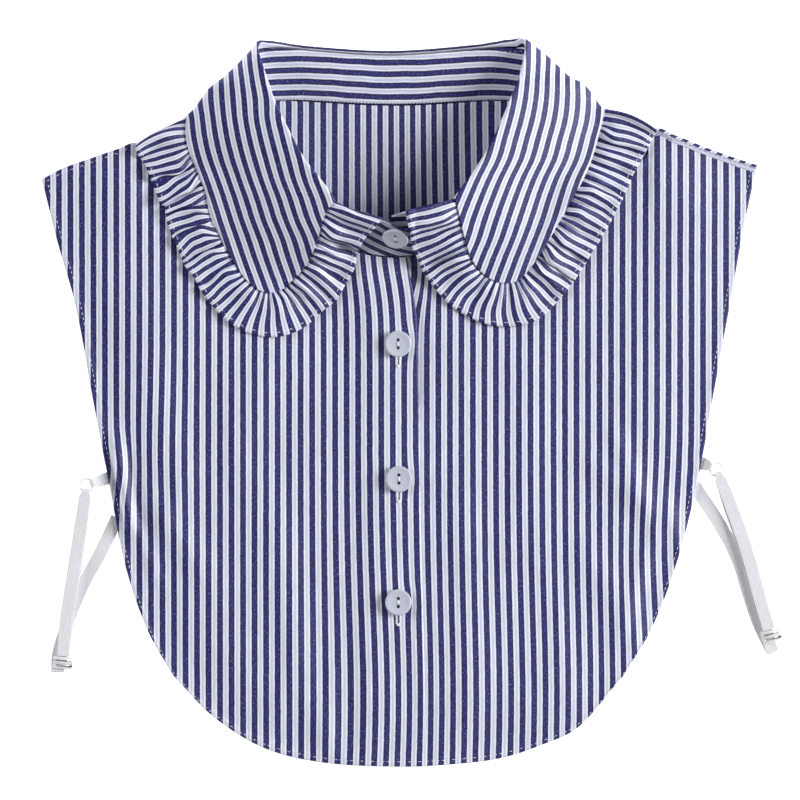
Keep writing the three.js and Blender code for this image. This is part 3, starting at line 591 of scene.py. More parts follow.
@dataclass
class CollarShape:
    """Stand and leaf round the neck, as the solids have them."""

    bib: BibShape
    sections: Table = table(
        ("turn", "rollX", "rollY", "rollZ", "midX", "midY", "midZ", "edgeX", "edgeY", "edgeZ"),
        (-88, 14.2, 68, 19, 36.2, 58.4, 8.8, 58.2, 48.9, 5),
        (-63, 26.1, 95.5, 27, 48.5, 85.7, 16.5, 70.8, 76, 5),
        (-48, 36.3, 110.2, 27, 58.5, 101.9, 17, 80.7, 93.6, 5.2),
        (-34, 44.7, 124.5, 25.5, 67.2, 117.8, 17, 89.8, 111.2, 6.5),
        (-19, 52.1, 141.6, 23, 75.5, 139.5, 15.5, 96.9, 136.3, 5),
        (-15.5, 54.3, 146.8, 21.6, 87.4, 148.2, 10.5, 95.5, 138, 3.2),
        (-12, 56.5, 152, 20, 81.7, 152, 8, 87.9, 134.4, 0.8),
        (12, 59.4, 169.5, 15.5, 67, 163.4, 5.5, 70.3, 134, 0.8),
        (28, 53.2, 170.5, 13.5, 56, 158, 1.8, 61.8, 133.5, 0.8),
        (57, 33.7, 167.8, 10, 34, 157, 1.2, 38.5, 133, 0.8),
        (90, -4.3, 165.2, 8.5, -4.3, 156, 1.1, -4.3, 133, 0.8),
        (123, -42.3, 167.3, 9, -42, 157, 1.2, -44.2, 133, 0.8),
        (150, -63.6, 170, 11, -64, 158, 1.5, -65.5, 133, 0.8),
        (168, -67.6, 167.7, 13.5, -73.5, 160, 3, -73.2, 133.5, 0.8),
        (187, -64.1, 154.9, 19, -85, 151.5, 7, -87.9, 133.7, 0.8),
        (192.5, -62, 149, 20.5, -89.5, 147, 10.5, -98.5, 136, 2.8),
        (198, -59.9, 142.7, 22, -80.6, 139.5, 15.5, -101.4, 133, 5),
        (209, -54.2, 130.6, 24.3, -77.3, 125.2, 16.8, -100.5, 119.7, 6.8),
        (223, -45.8, 115, 26.3, -69.2, 107.4, 16.5, -92.6, 99.8, 5.4),
        (233, -38.5, 105.2, 27.2, -64.2, 96.4, 16.8, -90, 87.6, 5),
        (244, -30.6, 93.6, 27, -57.2, 83.7, 16.5, -83.8, 73.9, 5),
        (267, -20.4, 65.6, 19, -46.8, 55.8, 8.8, -73.2, 46, 5),
    )
    point: Table = table(
        ("across", "right", "left"),
        (0, 0, 0), (0.05, 0, 0), (0.18, 5.4, 9), (0.31, 15, 16.5), (0.46, 23, 23.8),
        (0.58, 26.8, 27), (0.69, 29.8, 28.2), (0.77, 30.3, 27.8), (0.87, 26.2, 25.2),
        (0.93, 20, 20.8), (0.98, 8.5, 9), (1, 0, 0),
    )
    stand_top_line: Table = table(
        ("turn", "x", "y", "z"),
        (-96, -4.3, 87.4, 19.3), (-90, 1.4, 89.3, 20), (-82, 8.6, 91.7, 21.5), (-72, 17.6, 93.5, 23.3),
        (244, -30.8, 91.4, 24.1), (252, -22.8, 90.5, 24.2), (261, -13.3, 87.9, 24.2),
        (268, -6.7, 84.6, 24), (274, -1, 82, 23.8), (279, 4.3, 81, 23.6),
    )
    back_turn: float = 90.0
    seam_drop: float = 1.2
    corner_drop: float = 2.2
    # A pair holds a turn and the degrees that the change there takes.
    corner_right: Pair = (128.0, 28.0)
    corner_left: Pair = (58.0, 36.0)
    over_right: Pair = (190.0, 9.0)
    over_left: Pair = (-9.0, 10.0)
    roll_along: float = 3.0
    roll_out: float = 1.0
    front_right: float = 244.0
    front_left: float = -63.0
    per_degree_right: float = 1.29
    per_degree_left: float = 1.19
    point_run: float = 0.16
    stand_right: float = 279.0
    stand_left: float = -96.0
    stand_offset: float = 0.9
    under_back: float = 0.8
    under_drop: float = 0.3
    under_run: float = 30.0
    level_turn: float = 176.0
    level_run: float = 12.0
    leaf_rest: float = 1.1
    rest_blend: float = 1.5
    floor_clearance: float = CLOTH / 2 + 0.2

    def __post_init__(self) -> None:
        """Start an empty store of leaf sections."""
        self.curves: dict[float, SmoothCurve] = {}

    def stand_foot(self, turn: float) -> Vector:
        """Lower edge of the stand, just inside the neckline.

        Args:
            turn: Degrees round the neck.

        Returns:
            The place in mm.
        """
        under = ease((self.stand_left + self.under_run - turn) / self.under_run)
        x, y = self.bib.neck.point(turn, self.stand_offset + self.under_back * under)
        past = max(turn - self.level_turn, 180 - self.level_turn - turn)
        front = ease(1 + past / self.level_run)
        if turn < 0:
            cloth = self.bib.left_height(x, y) - self.under_drop
        else:
            cloth = self.bib.right_height(x, y)
        return Vector((x, y, mix(self.bib.back_height(x, y), cloth, front)))

    def section_point(self, name: str, turn: float) -> Vector:
        """One named point of the section at a turn."""
        return Vector([self.sections.read("turn", name + axis, turn) for axis in "XYZ"])

    def leaf_seam(self, turn: float) -> Vector:
        """Seam between stand and leaf, a little below the roll line.

        Args:
            turn: Degrees round the neck.

        Returns:
            The place in mm.
        """
        roll = self.section_point("roll", turn)
        foot = self.stand_foot(clamp(turn, self.front_left, self.front_right))
        (right, right_run), (left, left_run) = self.corner_right, self.corner_left
        corner = max(ease((turn - right) / right_run), ease((left - turn) / left_run))
        return roll + (foot - roll).normalized() * (self.seam_drop + self.corner_drop * corner)

    def stand_top(self, turn: float) -> Vector:
        """Top edge of the stand."""
        if self.front_left <= turn <= self.front_right:
            return self.leaf_seam(turn)
        return Vector([self.stand_top_line.read("turn", axis, turn) for axis in "xyz"])

    def stand(self, u: float, v: float) -> Vector:
        """Middle surface of the stand, from the right end to the left."""
        turn = mix(self.stand_right, self.stand_left, u)
        foot, top = self.stand_foot(turn), self.stand_top(turn)
        top = top - (top - foot).normalized() * (CLOTH / 2 + GAP)
        return foot.lerp(top, v)

    def over_front(self, turn: float) -> float:
        """1 where the leaf lies over the fronts, 0 where it lies under the back."""
        if turn > self.back_turn:
            return ease((turn - self.over_right[0]) / self.over_right[1])
        return ease((self.over_left[0] - turn) / self.over_left[1])

    def leaf_curve(self, turn: float) -> SmoothCurve:
        """Section of the leaf from its seam to its outer edge.

        Args:
            turn: Degrees round the neck.

        Returns:
            The section, kept for the next time.
        """
        key = round(turn, 4)
        if key not in self.curves:
            seam, roll = self.leaf_seam(turn), self.section_point("roll", turn)
            middle = self.section_point("mid", turn)
            outwards = (middle - roll).normalized()
            rise = roll - seam
            bulge = (rise - outwards * rise.dot(outwards)).normalized() * self.roll_out
            over = roll + outwards * self.roll_along + bulge
            self.curves[key] = SmoothCurve([seam, roll, over, middle, self.section_point("edge", turn)])
        return self.curves[key]

    def roll_reach(self, turn: float) -> float:
        """Length of the section from the seam to the roll line."""
        curve = self.leaf_curve(turn)
        return curve.lengths[curve.divisions // (len(curve.points) - 1)]

    def leaf_turn(self, u: float, v: float) -> float:
        """Turn of the leaf at u round the neck and v across, with its rounded points."""
        right = self.point.read("across", "right", v) / self.per_degree_right
        left = self.point.read("across", "left", v) / self.per_degree_left
        reach = right * ease(1 - u / self.point_run) - left * ease(1 - (1 - u) / self.point_run)
        return mix(self.front_right, self.front_left, u) + reach

    def leaf(self, u: float, v: float) -> Vector:
        """Middle surface of the leaf.

        Args:
            u: Share of the way round.
            v: Share across the leaf.

        Returns:
            The place in mm.
        """
        turn = self.leaf_turn(u, v)
        point = self.leaf_curve(turn).even(v)
        point.z = max(point.z, self.floor_clearance)
        front = self.over_front(turn)
        if front > 0:
            clear = self.bib.front_face(point.x, point.y) + CLOTH / 2 + self.leaf_rest
            point.z = mix(point.z, soft_max(point.z, clear, self.rest_blend), front)
        return point


@dataclass
class Station:
    """One place on the leaf's free edge."""

    point: Vector
    out: Vector
    along: float
    left: float = 0.0
    away: float = 0.0
    widen: float = 0.0
    over: float = 0.0
    fan: float = 1.0


@dataclass
class FrillShape:
    """Gathered strip along the leaf's free edge."""

    collar: CollarShape
    ends: Table = table(
        ("along", "rightWidth", "rightLift", "leftWidth", "leftLift"),
        (0, 24, 1.5, 23, 3), (9, 21.5, 1.6, 23.5, 5), (17, 19, 1.2, 23.5, 4),
        (26, 19.3, 0.4, 23, 1.6), (35, 19.5, 0, 21.2, 0.5), (50, 19.5, 0, 19.5, 0),
    )
    # A pair holds a size or heading and the length or width that goes with it, or two limits.
    end_run: float = 50.0
    end_wave: Pair = (6.0, 0.3)
    count: int = 380
    seam: float = 0.75
    width: float = 19.5
    tuck: float = 1.3
    tuck_depth: float = 0.75
    rest_height: float = 0.55
    uneven: float = 1.0
    uneven_length: float = 7.0
    gather: float = 1.6
    wave: float = 3.4
    wave_power: float = 0.75
    hidden_wave: float = 0.4
    pitch: float = 10.4
    pitch_stray: Pair = (0.42, 24.0)
    pitch_wander: Pair = (0.26, 17.0)
    strength: Pair = (0.8, 0.75)
    strength_length: float = 14.0
    strength_range: Pair = (0.2, 1.15)
    slack_least: float = 0.12
    slack_power: float = 0.6
    wave_from: float = 0.04
    wave_climb: float = 2.6
    wave_start: float = 0.06
    pinch: float = 3.6
    pinch_height: float = 1.35
    pinch_power: float = 0.7
    pinch_stray: Pair = (0.8, 8.0)
    pinch_strength: Pair = (0.75, 0.9)
    pinch_length: float = 11.0
    pinch_range: Pair = (0.2, 1.2)
    pinch_span: Pair = (0.03, 0.2)
    pinch_climb: float = 8.0
    pinch_fade: float = 0.55
    lean_wave: Pair = (5.5, 23.0)
    lean_most: float = 1.6
    drift: float = 2.6
    drift_length: float = 21.0
    settle: float = 1.15
    flat_at: float = 0.5
    flat_steps: int = 4
    fan: int = 9
    climb: float = 5.0
    fold_right: Pair = (-160.0, 1.8)
    fold_left: Pair = (-20.0, 3.6)
    end_right: float = -20.0
    end_left: float = -164.0
    fold_gap: float = 2.0
    fold_calm: float = 0.9
    fold_puff: float = 2.6
    fold_reach: float = 24.0
    rim_from: float = 0.05
    rim_ends: int = 26
    rim_side: int = 110
    rim_inset: float = 0.01
    smoothing: int = 3
    end_stations: int = 8
    slope_rise: float = 59.0
    slope_top: float = 15.5

    def __post_init__(self) -> None:
        """Find the stations."""
        self.stations = self.leaf_rim()
        for i, station in enumerate(self.stations):
            station.fan = self.fan_ratio(i)
        self.length = self.stations[-1].along
        self.lengths = self.flat_lengths()
        self.taken_up = max(1.0, self.gather * self.length / self.lengths[-1])

    def ground(self, x: float, y: float) -> float:
        """Upper face of the panels and of the stand that leans inwards from them."""
        neck = self.collar.bib.neck
        rise = self.slope_rise * max(0.0, 1 - neck.around(x, y)) if y < neck.y else 0.0
        return self.collar.bib.front_face(x, y) + min(rise, self.slope_top)

    def leaf_rim(self) -> list[Station]:
        """The leaf's free edge as evenly spaced stations.

        Returns:
            The stations from the right end to the left.
        """
        ends, side = self.rim_ends, self.rim_side
        places = [(0.0, mix(self.rim_from, 1, i / ends)) for i in range(ends)]
        places += [(i / side, 1.0) for i in range(side + 1)]
        places += [(1.0, mix(self.rim_from, 1, i / ends)) for i in range(ends - 1, -1, -1)]
        leaf = self.collar.leaf
        points = [leaf(u, v) for u, v in places]
        inset = self.rim_inset
        normals = [surface_normal(leaf, clamp(u, inset, 1 - inset), min(v, 1 - inset)) for u, v in places]
        last = len(points) - 1
        lengths, outs = [0.0], []
        for i in range(last + 1):
            if i:
                lengths.append(lengths[-1] + (points[i] - points[i - 1]).length)
            heading = (points[min(i + 1, last)] - points[max(i - 1, 0)]).normalized()
            out = normals[i].cross(heading)
            outs.append(Vector((out.x, out.y, 0)).normalized())
        total = lengths[-1]
        stations, k = [], 0
        for i in range(self.count + 1):
            at = total * i / self.count
            while k < last - 1 and lengths[k + 1] < at:
                k += 1
            t = (at - lengths[k]) / (lengths[k + 1] - lengths[k])
            stations.append(Station(
                points[k].lerp(points[k + 1], t), outs[k].lerp(outs[k + 1], t).normalized(), at, total - at,
            ))
        self.smooth_directions(stations)
        self.square_end(stations, self.end_right)
        self.square_end(stations[::-1], self.end_left)
        self.fold_over(stations, -1, *self.fold_right)
        self.fold_over(stations, 1, *self.fold_left)
        return stations

    def smooth_directions(self, stations: list[Station]) -> None:
        """Even out the outward directions.

        Args:
            stations: The stations, which it changes.
        """
        last = len(stations) - 1
        reach = range(-self.smoothing, self.smoothing + 1)
        smooth = []
        for i in range(last + 1):
            near = [stations[int(clamp(i + j, 0, last))].out for j in reach]
            smooth.append(sum(near, Vector((0, 0, 0))).normalized())
        for station, out in zip(stations, smooth):
            station.out = out

    def square_end(self, stations: list[Station], degrees: float) -> None:
        """Turn the first stations towards the heading of the strip's end.

        Args:
            stations: The stations from that end.
            degrees: Heading of the end.
        """
        end = heading_vector(degrees)
        own = stations[self.end_stations].out.copy()
        for i in range(self.end_stations):
            stations[i].out = end.lerp(own, i / self.end_stations).normalized()

    def fold_over(self, stations: list[Station], sign: int, heading: float, extra: float) -> None:
        """Swing the strip to one heading at a shoulder, where it passes from under to over.

        Args:
            stations: The stations round the leaf.
            sign: -1 for the right shoulder, 1 for the left.
            heading: Heading at the fold in degrees.
            extra: Width that the fold adds.
        """
        outwards = heading_vector(heading)
        middle = len(stations) / 2
        half = [(s, i) for i, s in enumerate(stations) if (i - middle) * sign > 0]
        fold = max(half, key=lambda item: sign * item[0].point.x)[1]
        for way in (-1, 1):
            own = stations[fold + way * self.fan].out.copy()
            for k in range(self.fan):
                stations[fold + way * k].out = outwards.lerp(own, ease(k / self.fan)).normalized()
                stations[fold + way * k].away = self.fold_gap * ease(1 - k / self.fan)
        for station, i in half:
            station.widen = extra * ease(1 - abs(i - fold) / self.fold_reach)
            station.over = ease(((i - fold) * sign + self.climb) / self.climb)

    def fan_ratio(self, i: int) -> float:
        """How much longer the hem is than the seam at a station."""
        reach = self.smoothing
        a, b = self.stations[max(i - reach, 0)], self.stations[min(i + reach, len(self.stations) - 1)]
        hem = (b.point + b.out * self.width - a.point - a.out * self.width).length
        return hem / max((b.point - a.point).length, TINY)

    def flat_lengths(self) -> list[float]:
        """Measure the cloth along the strip.

        Returns:
            Length up to each step in mm.
        """
        steps = self.flat_steps * (len(self.stations) - 1)
        lengths = [0.0]
        last = self.point(0, self.flat_at)
        for k in range(1, steps + 1):
            place = self.point(k / steps, self.flat_at)
            lengths.append(lengths[-1] + (place - last).length)
            last = place
        return lengths

    def flat_length(self, u: float) -> float:
        """Cloth used from the right end to u."""
        i, part = find_step(u, len(self.lengths) - 1)
        return self.taken_up * mix(self.lengths[i], self.lengths[i + 1], part)

    def point(self, u: float, v: float) -> Vector:
        """Middle surface of the frill at u along and v outwards.

        Args:
            u: Share along the strip.
            v: 0 at the seam, 1 at the hem.

        Returns:
            The place in mm.
        """
        i, t = find_step(u, len(self.stations) - 1)
        a, b = self.stations[i], self.stations[i + 1]
        along = mix(a.along, b.along, t)
        name = "right" if along < a.left else "left"
        from_end = min(along if name == "right" else mix(a.left, b.left, t), self.end_run)
        width = self.ends.read("along", name + "Width", from_end) + mix(a.widen, b.widen, t)
        width += self.uneven * soft_noise(along / self.uneven_length, 4.4, 0)
        lift = self.ends.read("along", name + "Lift", from_end)
        out = a.out.lerp(b.out, t).normalized()
        rim = a.point.lerp(b.point, t)
        front = mix(a.over, b.over, t)
        outer = CLOTH / 2 + self.seam + mix(a.away, b.away, t) + width
        place = rim + out * mix(-self.tuck * front, outer, v)
        clear = self.ground(place.x, place.y) + self.rest_height
        floor = mix(self.collar.floor_clearance, clear, front)
        rest = floor + lift * front
        under = max(rim.z - self.tuck_depth * front, floor)
        base = mix(under, rest, ease(v * self.settle))
        fan = mix(a.fan, b.fan, t)
        near_end = ease(from_end / self.end_wave[0] + self.end_wave[1])
        fold = self.fold(along, v, fan) * mix(self.hidden_wave, 1, front) * near_end
        pleat = self.pleat(along, v) * front
        side = Vector((-out.y, out.x, 0))
        drift = self.drift * v * soft_noise(along / self.drift_length, 1.5 * v, 6.3)
        shift = self.lean(along) * fold + drift
        near_fold = mix(a.away, b.away, t) / self.fold_gap
        puff = self.fold_puff * near_fold * 4 * v * (1 - v) * (-1 if name == "right" else 1)
        place += side * (shift * front * (1 - self.fold_calm * near_fold) + puff)
        place.z = max(base, floor) + fold + pleat
        return place

    def fold(self, along: float, v: float, fan: float) -> float:
        """Work out the soft folds.

        Args:
            along: Distance along the seam in mm.
            v: 0 at the seam, 1 at the hem.
            fan: How much longer the hem is than the seam here.

        Returns:
            Their height in mm.
        """
        (stray, stray_length), (wander, wander_length) = self.pitch_stray, self.pitch_wander
        wandering = wander * soft_noise(along / wander_length, 1.7 * v, 3.1)
        turns = along / self.pitch + stray * soft_noise(along / stray_length, 0.7, 0) + wandering
        middle, swing = self.strength
        strength = clamp(middle + swing * soft_noise(along / self.strength_length, 5.5, 0.6 * v),
                         *self.strength_range)
        spare = (self.gather / mix(1, fan, v) - 1) / (self.gather - 1)
        slack = clamp(spare, self.slack_least, 1) ** self.slack_power
        climb = ease(self.wave_start + (v - self.wave_from) * self.wave_climb)
        return self.wave * strength * slack * crest(turns, self.wave_power) * climb

    def pleat(self, along: float, v: float) -> float:
        """Height of the fine pinches by the seam.

        Args:
            along: Distance along the seam in mm.
            v: 0 at the seam, 1 at the hem.

        Returns:
            The height in mm.
        """
        stray, stray_length = self.pinch_stray
        turns = along / self.pinch + stray * soft_noise(along / stray_length, 2.2, 0.8 * v)
        middle, swing = self.pinch_strength
        strength = clamp(middle + swing * soft_noise(along / self.pinch_length, 8.1, 0), *self.pinch_range)
        start, end = self.pinch_span
        span = ease((v - start) * self.pinch_climb) * (1 - ease((v - end) / self.pinch_fade))
        return self.pinch_height * strength * crest(turns, self.pinch_power) * span

    def lean(self, along: float) -> float:
        """How far the folds fall over to one side."""
        most, length = self.lean_wave
        return clamp(most * soft_noise(along / length, 9.2, 0), -self.lean_most, self.lean_most)


def surface_normal(surface: Surface, u: float, v: float, step: float = 0.002) -> Vector:
    """Normal of a surface by small steps.

    Args:
        surface: The surface.
        u: Share along it.
        v: Share across it.
        step: Size of a step.

    Returns:
        The unit normal.
    """
    u0, u1 = max(u - step, 0), min(u + step, 1)
    v0, v1 = max(v - step, 0), min(v + step, 1)
    along = surface(u1, v) - surface(u0, v)
    across = surface(u, v1) - surface(u, v0)
    return along.cross(across).normalized()


# Shader nodes

class Nodes:
    """A node tree with short ways to add and join its nodes."""

    def __init__(self, tree: NodeTree) -> None:
        """Keep the tree."""
        self.tree = tree

    def add(self, kind: str, values: dict | None = None, **settings: object) -> Node:
        """Add a node.

        Args:
            kind: Node type.
            values: Inputs by name or number, each a socket or a value.
            settings: Properties of the node.

        Returns:
            The node.
        """
        node = self.tree.nodes.new(kind)
        for name, value in settings.items():
            setattr(node, name, value)
        for name, value in (values or {}).items():
            self.join(value, node.inputs[name])
        return node

    def join(self, value: object, socket: NodeSocket) -> None:
        """Link a socket, or set a plain value."""
        if isinstance(value, NodeSocket):
            self.tree.links.new(value, socket)
        else:
            socket.default_value = value

    def sum(self, operation: str, a: object, b: object = 0.0, c: object = 0.0) -> NodeSocket:
        """Result of one Math node."""
        return self.add("ShaderNodeMath", {0: a, 1: b, 2: c}, operation=operation).outputs[0]

    def times(self, a: object, b: object) -> NodeSocket:
        """Product of two values."""
        return self.sum("MULTIPLY", a, b)

    def step(self, value: object, low: float, high: float, to_low: float = 0.0,
             to_high: float = 1.0) -> NodeSocket:
        """Smooth change of a value between two limits.

        Args:
            value: What is measured.
            low: Value where the change starts.
            high: Value where it ends.
            to_low: Result before it.
            to_high: Result after it.

        Returns:
            The result.
        """
        node = self.add(
            "ShaderNodeMapRange",
            {"Value": value, "From Min": low, "From Max": high, "To Min": to_low, "To Max": to_high},
            interpolation_type="SMOOTHSTEP",
        )
        return node.outputs[0]

    def noise(self, vector: object, scale: object, detail: float = 2.0) -> NodeSocket:
        """Height of a noise texture."""
        node = self.add("ShaderNodeTexNoise", {"Vector": vector, "Scale": scale, "Detail": detail})
        return node.outputs["Fac"]

    def scaled(self, vector: object, scale: Sequence[float]) -> NodeSocket:
        """Vector stretched on each axis."""
        node = self.add("ShaderNodeMapping", {"Vector": vector, "Scale": scale})
        return node.outputs[0]

    def blend(self, factor: object, a: object, b: object) -> NodeSocket:
        """Colour between two colours.

        Args:
            factor: 0 for the first colour, 1 for the second.
            a: First colour.
            b: Second colour.

        Returns:
            The colour.
        """
        return self.add("ShaderNodeMix", {0: factor, 6: a, 7: b}, data_type="RGBA").outputs[2]

    def bump(self, height: object, distance: float, strength: float,
             normal: object = None) -> NodeSocket:
        """Normal from a height."""
        values = {"Height": height, "Distance": distance, "Strength": strength}
        if normal is not None:
            values["Normal"] = normal
        return self.add("ShaderNodeBump", values).outputs[0]

    def group(self, tree: NodeTree, **values: object) -> Node:
        """Place a node group."""
        return self.add("ShaderNodeGroup", values, node_tree=tree)


def new_group(name: str, inputs: Sequence[tuple[str, str, object]],
              outputs: Sequence[tuple[str, str]]) -> tuple[Nodes, NodeOutputs, Node]:
    """Start a shader node group.

    Args:
        name: Name of the group.
        inputs: Name, socket type and default of each input.
        outputs: Name and socket type of each output.

    Returns:
        The group's nodes, its input node's outputs and its output node.
    """
    tree = bpy.data.node_groups.new(name, "ShaderNodeTree")
    for label, kind, default in inputs:
        socket = tree.interface.new_socket(label, in_out="INPUT", socket_type=kind)
        if default is not None:
            socket.default_value = default
    for label, kind in outputs:
        tree.interface.new_socket(label, in_out="OUTPUT", socket_type=kind)
    nodes = Nodes(tree)
    return nodes, nodes.add("NodeGroupInput").outputs, nodes.add("NodeGroupOutput")


class Effects:
    """Node groups that several finishes share."""

    def __init__(self) -> None:
        """Build each group once."""
        self.stripes = self.make_stripes()
        self.weave = self.make_weave()
        self.mottle = self.make_mottle()

    @staticmethod
    def make_stripes() -> NodeTree:
        """Woven stripes across X of the flat cloth, in metres."""
        nodes, given, out = new_group(
            "woven_stripes",
            [("Flat", "NodeSocketVector", None), ("Pitch", "NodeSocketFloat", STRIPE_PITCH * MM),
             ("Width", "NodeSocketFloat", 0.0028)],
            [(name, "NodeSocketFloat") for name in ("Stripe", "Selvedge", "Middle")],
        )
        split = nodes.add("ShaderNodeSeparateXYZ", {0: given["Flat"]}).outputs
        wander = nodes.noise(nodes.scaled(given["Flat"], (60.0, 300.0, 1.0)), 1.0, 1.0)
        across = nodes.sum("ADD", split[0], nodes.times(nodes.sum("SUBTRACT", wander, 0.5), 0.00028))
        turns = nodes.sum("ADD", nodes.sum("DIVIDE", across, given["Pitch"]), 0.5)
        part = nodes.sum("SUBTRACT", nodes.sum("FRACT", turns), 0.5)
        away = nodes.times(nodes.sum("ABSOLUTE", part), given["Pitch"])
        inside = nodes.sum("SUBTRACT", nodes.times(given["Width"], 0.5), away)
        nodes.join(nodes.step(inside, -0.00012, 0.00012), out.inputs["Stripe"])
        nodes.join(nodes.step(inside, 0.0012, 0.0005), out.inputs["Selvedge"])
        nodes.join(nodes.step(inside, -0.00045, -0.0011), out.inputs["Middle"])
        return nodes.tree

    @staticmethod
    def make_weave() -> NodeTree:
        """Plain weave of threads with uneven yarn."""
        nodes, given, out = new_group(
            "plain_weave",
            [("Flat", "NodeSocketVector", None), ("Thread", "NodeSocketFloat", 0.00032)],
            [(name, "NodeSocketFloat") for name in ("Height", "Fleck", "Slub")],
        )
        split = nodes.add("ShaderNodeSeparateXYZ", {0: given["Flat"]}).outputs
        turns = nodes.sum("DIVIDE", math.pi, given["Thread"])
        warp = nodes.sum("SINE", nodes.times(split[0], turns))
        weft = nodes.sum("SINE", nodes.times(split[1], turns))
        plain = nodes.sum("MULTIPLY_ADD", nodes.times(warp, weft), 0.35, 0.5)
        uneven = nodes.noise(nodes.scaled(given["Flat"], (1500.0, 500.0, 1.0)), 1.0, 2.0)
        nodes.join(nodes.sum("ADD", plain, nodes.times(uneven, 0.6)), out.inputs["Height"])
        flecks = nodes.noise(nodes.scaled(given["Flat"], (2300.0, 900.0, 1.0)), 1.0, 3.0)
        nodes.join(nodes.step(flecks, 0.5, 0.74), out.inputs["Fleck"])
        slubs = nodes.noise(nodes.scaled(given["Flat"], (650.0, 110.0, 1.0)), 1.0, 3.0)
        nodes.join(nodes.step(slubs, 0.35, 0.7), out.inputs["Slub"])
        return nodes.tree

    @staticmethod
    def make_mottle() -> NodeTree:
        """Slow uneven tone over a piece."""
        nodes, given, out = new_group(
            "soft_mottle",
            [("Place", "NodeSocketVector", None), ("Size", "NodeSocketFloat", 30.0),
             ("Amount", "NodeSocketFloat", 0.1)],
            [("Tone", "NodeSocketFloat")],
        )
        tone = nodes.noise(given["Place"], given["Size"])
        swing = nodes.times(nodes.sum("SUBTRACT", tone, 0.5), given["Amount"])
        nodes.join(nodes.sum("ADD", swing, 1.0), out.inputs["Tone"])
        return nodes.tree


def new_material(name: str) -> tuple[Material, Nodes, Node]:
    """An empty material with its shader.

    Args:
        name: Name of the finish.

    Returns:
        The material, its nodes and its Principled shader.
    """
    material = bpy.data.materials.new(name)
    material.use_nodes = True
    nodes = Nodes(material.node_tree)
    return material, nodes, material.node_tree.nodes["Principled BSDF"]


def tinted(nodes: Nodes, colour: object, tone: object) -> NodeSocket:
    """Colour made lighter or darker by a tone."""
    scale = nodes.add("ShaderNodeVectorMath", {0: colour, "Scale": tone}, operation="SCALE")
    return scale.outputs[0]


@dataclass(frozen=True)
class StripedCotton:
    """Blue and white yarn-dyed cotton, striped along V of its flat map."""

    name: str
    white: Colour = (0.882, 0.903, 0.985)
    grey: Colour = (0.62, 0.64, 0.77)
    blue: Colour = (0.014, 0.014, 0.165)
    edge: Colour = (0.003, 0.003, 0.045)
    fleck: Colour = (0.21, 0.21, 0.70)
    fleck_share: float = 0.72
    slub_on_yarn: float = 0.55
    slub_on_ground: float = 0.42
    roughness: Pair = (0.84, -0.22)
    gloss: Pair = (0.08, 0.62)
    crease_scale: float = 170.0
    crease_depth: float = 0.0006
    thread_depth: float = 0.00009

    def material(self, effects: Effects) -> Material:
        """Build the finish.

        Args:
            effects: Shared node groups.

        Returns:
            The material.
        """
        material, nodes, shader = new_material(self.name)
        flat = nodes.add("ShaderNodeUVMap", uv_map="flat").outputs[0]
        place = nodes.add("ShaderNodeTexCoord").outputs["Object"]
        stripes = nodes.group(effects.stripes, Flat=flat).outputs
        weave = nodes.group(effects.weave, Flat=flat).outputs
        mottle = nodes.group(effects.mottle, Place=place, Size=22.0, Amount=0.16).outputs
        yarn = nodes.blend(stripes["Selvedge"], (*self.blue, 1), (*self.edge, 1))
        yarn = nodes.blend(nodes.times(weave["Slub"], self.slub_on_yarn), yarn, (*self.edge, 1))
        yarn = nodes.blend(nodes.times(weave["Fleck"], self.fleck_share), yarn, (*self.fleck, 1))
        ground = nodes.blend(stripes["Middle"], (*self.white, 1), (*self.grey, 1))
        ground = nodes.blend(nodes.times(weave["Slub"], self.slub_on_ground), ground, (*self.grey, 1))
        colour = nodes.blend(stripes["Stripe"], ground, yarn)
        nodes.join(tinted(nodes, colour, mottle["Tone"]), shader.inputs["Base Color"])
        for (plain, more), name in ((self.roughness, "Roughness"), (self.gloss, "Specular IOR Level")):
            nodes.join(nodes.sum("MULTIPLY_ADD", stripes["Stripe"], more, plain), shader.inputs[name])
        creases = nodes.noise(place, self.crease_scale, 3.0)
        soft = nodes.bump(creases, self.crease_depth, 0.5)
        fine = nodes.bump(weave["Height"], self.thread_depth, 0.6, soft)
        nodes.join(fine, shader.inputs["Normal"])
        return material


@dataclass(frozen=True)
class ThreadAndPaintedShadow:
    """Matt spun thread, white by default; its navy copy is painted shadow along the stand's foot seam."""

    name: str = "white_thread"
    colour: Colour = (0.80, 0.81, 0.86)

    def material(self, effects: Effects) -> Material:
        """Build the finish.

        Args:
            effects: Shared node groups.

        Returns:
            The material.
        """
        material, nodes, shader = new_material(self.name)
        place = nodes.add("ShaderNodeTexCoord").outputs["Object"]
        tone = nodes.group(effects.mottle, Place=place, Size=700.0, Amount=0.35).outputs["Tone"]
        nodes.join(tinted(nodes, self.colour, tone), shader.inputs["Base Color"])
        shader.inputs["Roughness"].default_value = 0.7
        nodes.join(nodes.bump(nodes.noise(place, 4000.0, 1.0), 0.00004, 0.6), shader.inputs["Normal"])
        return material


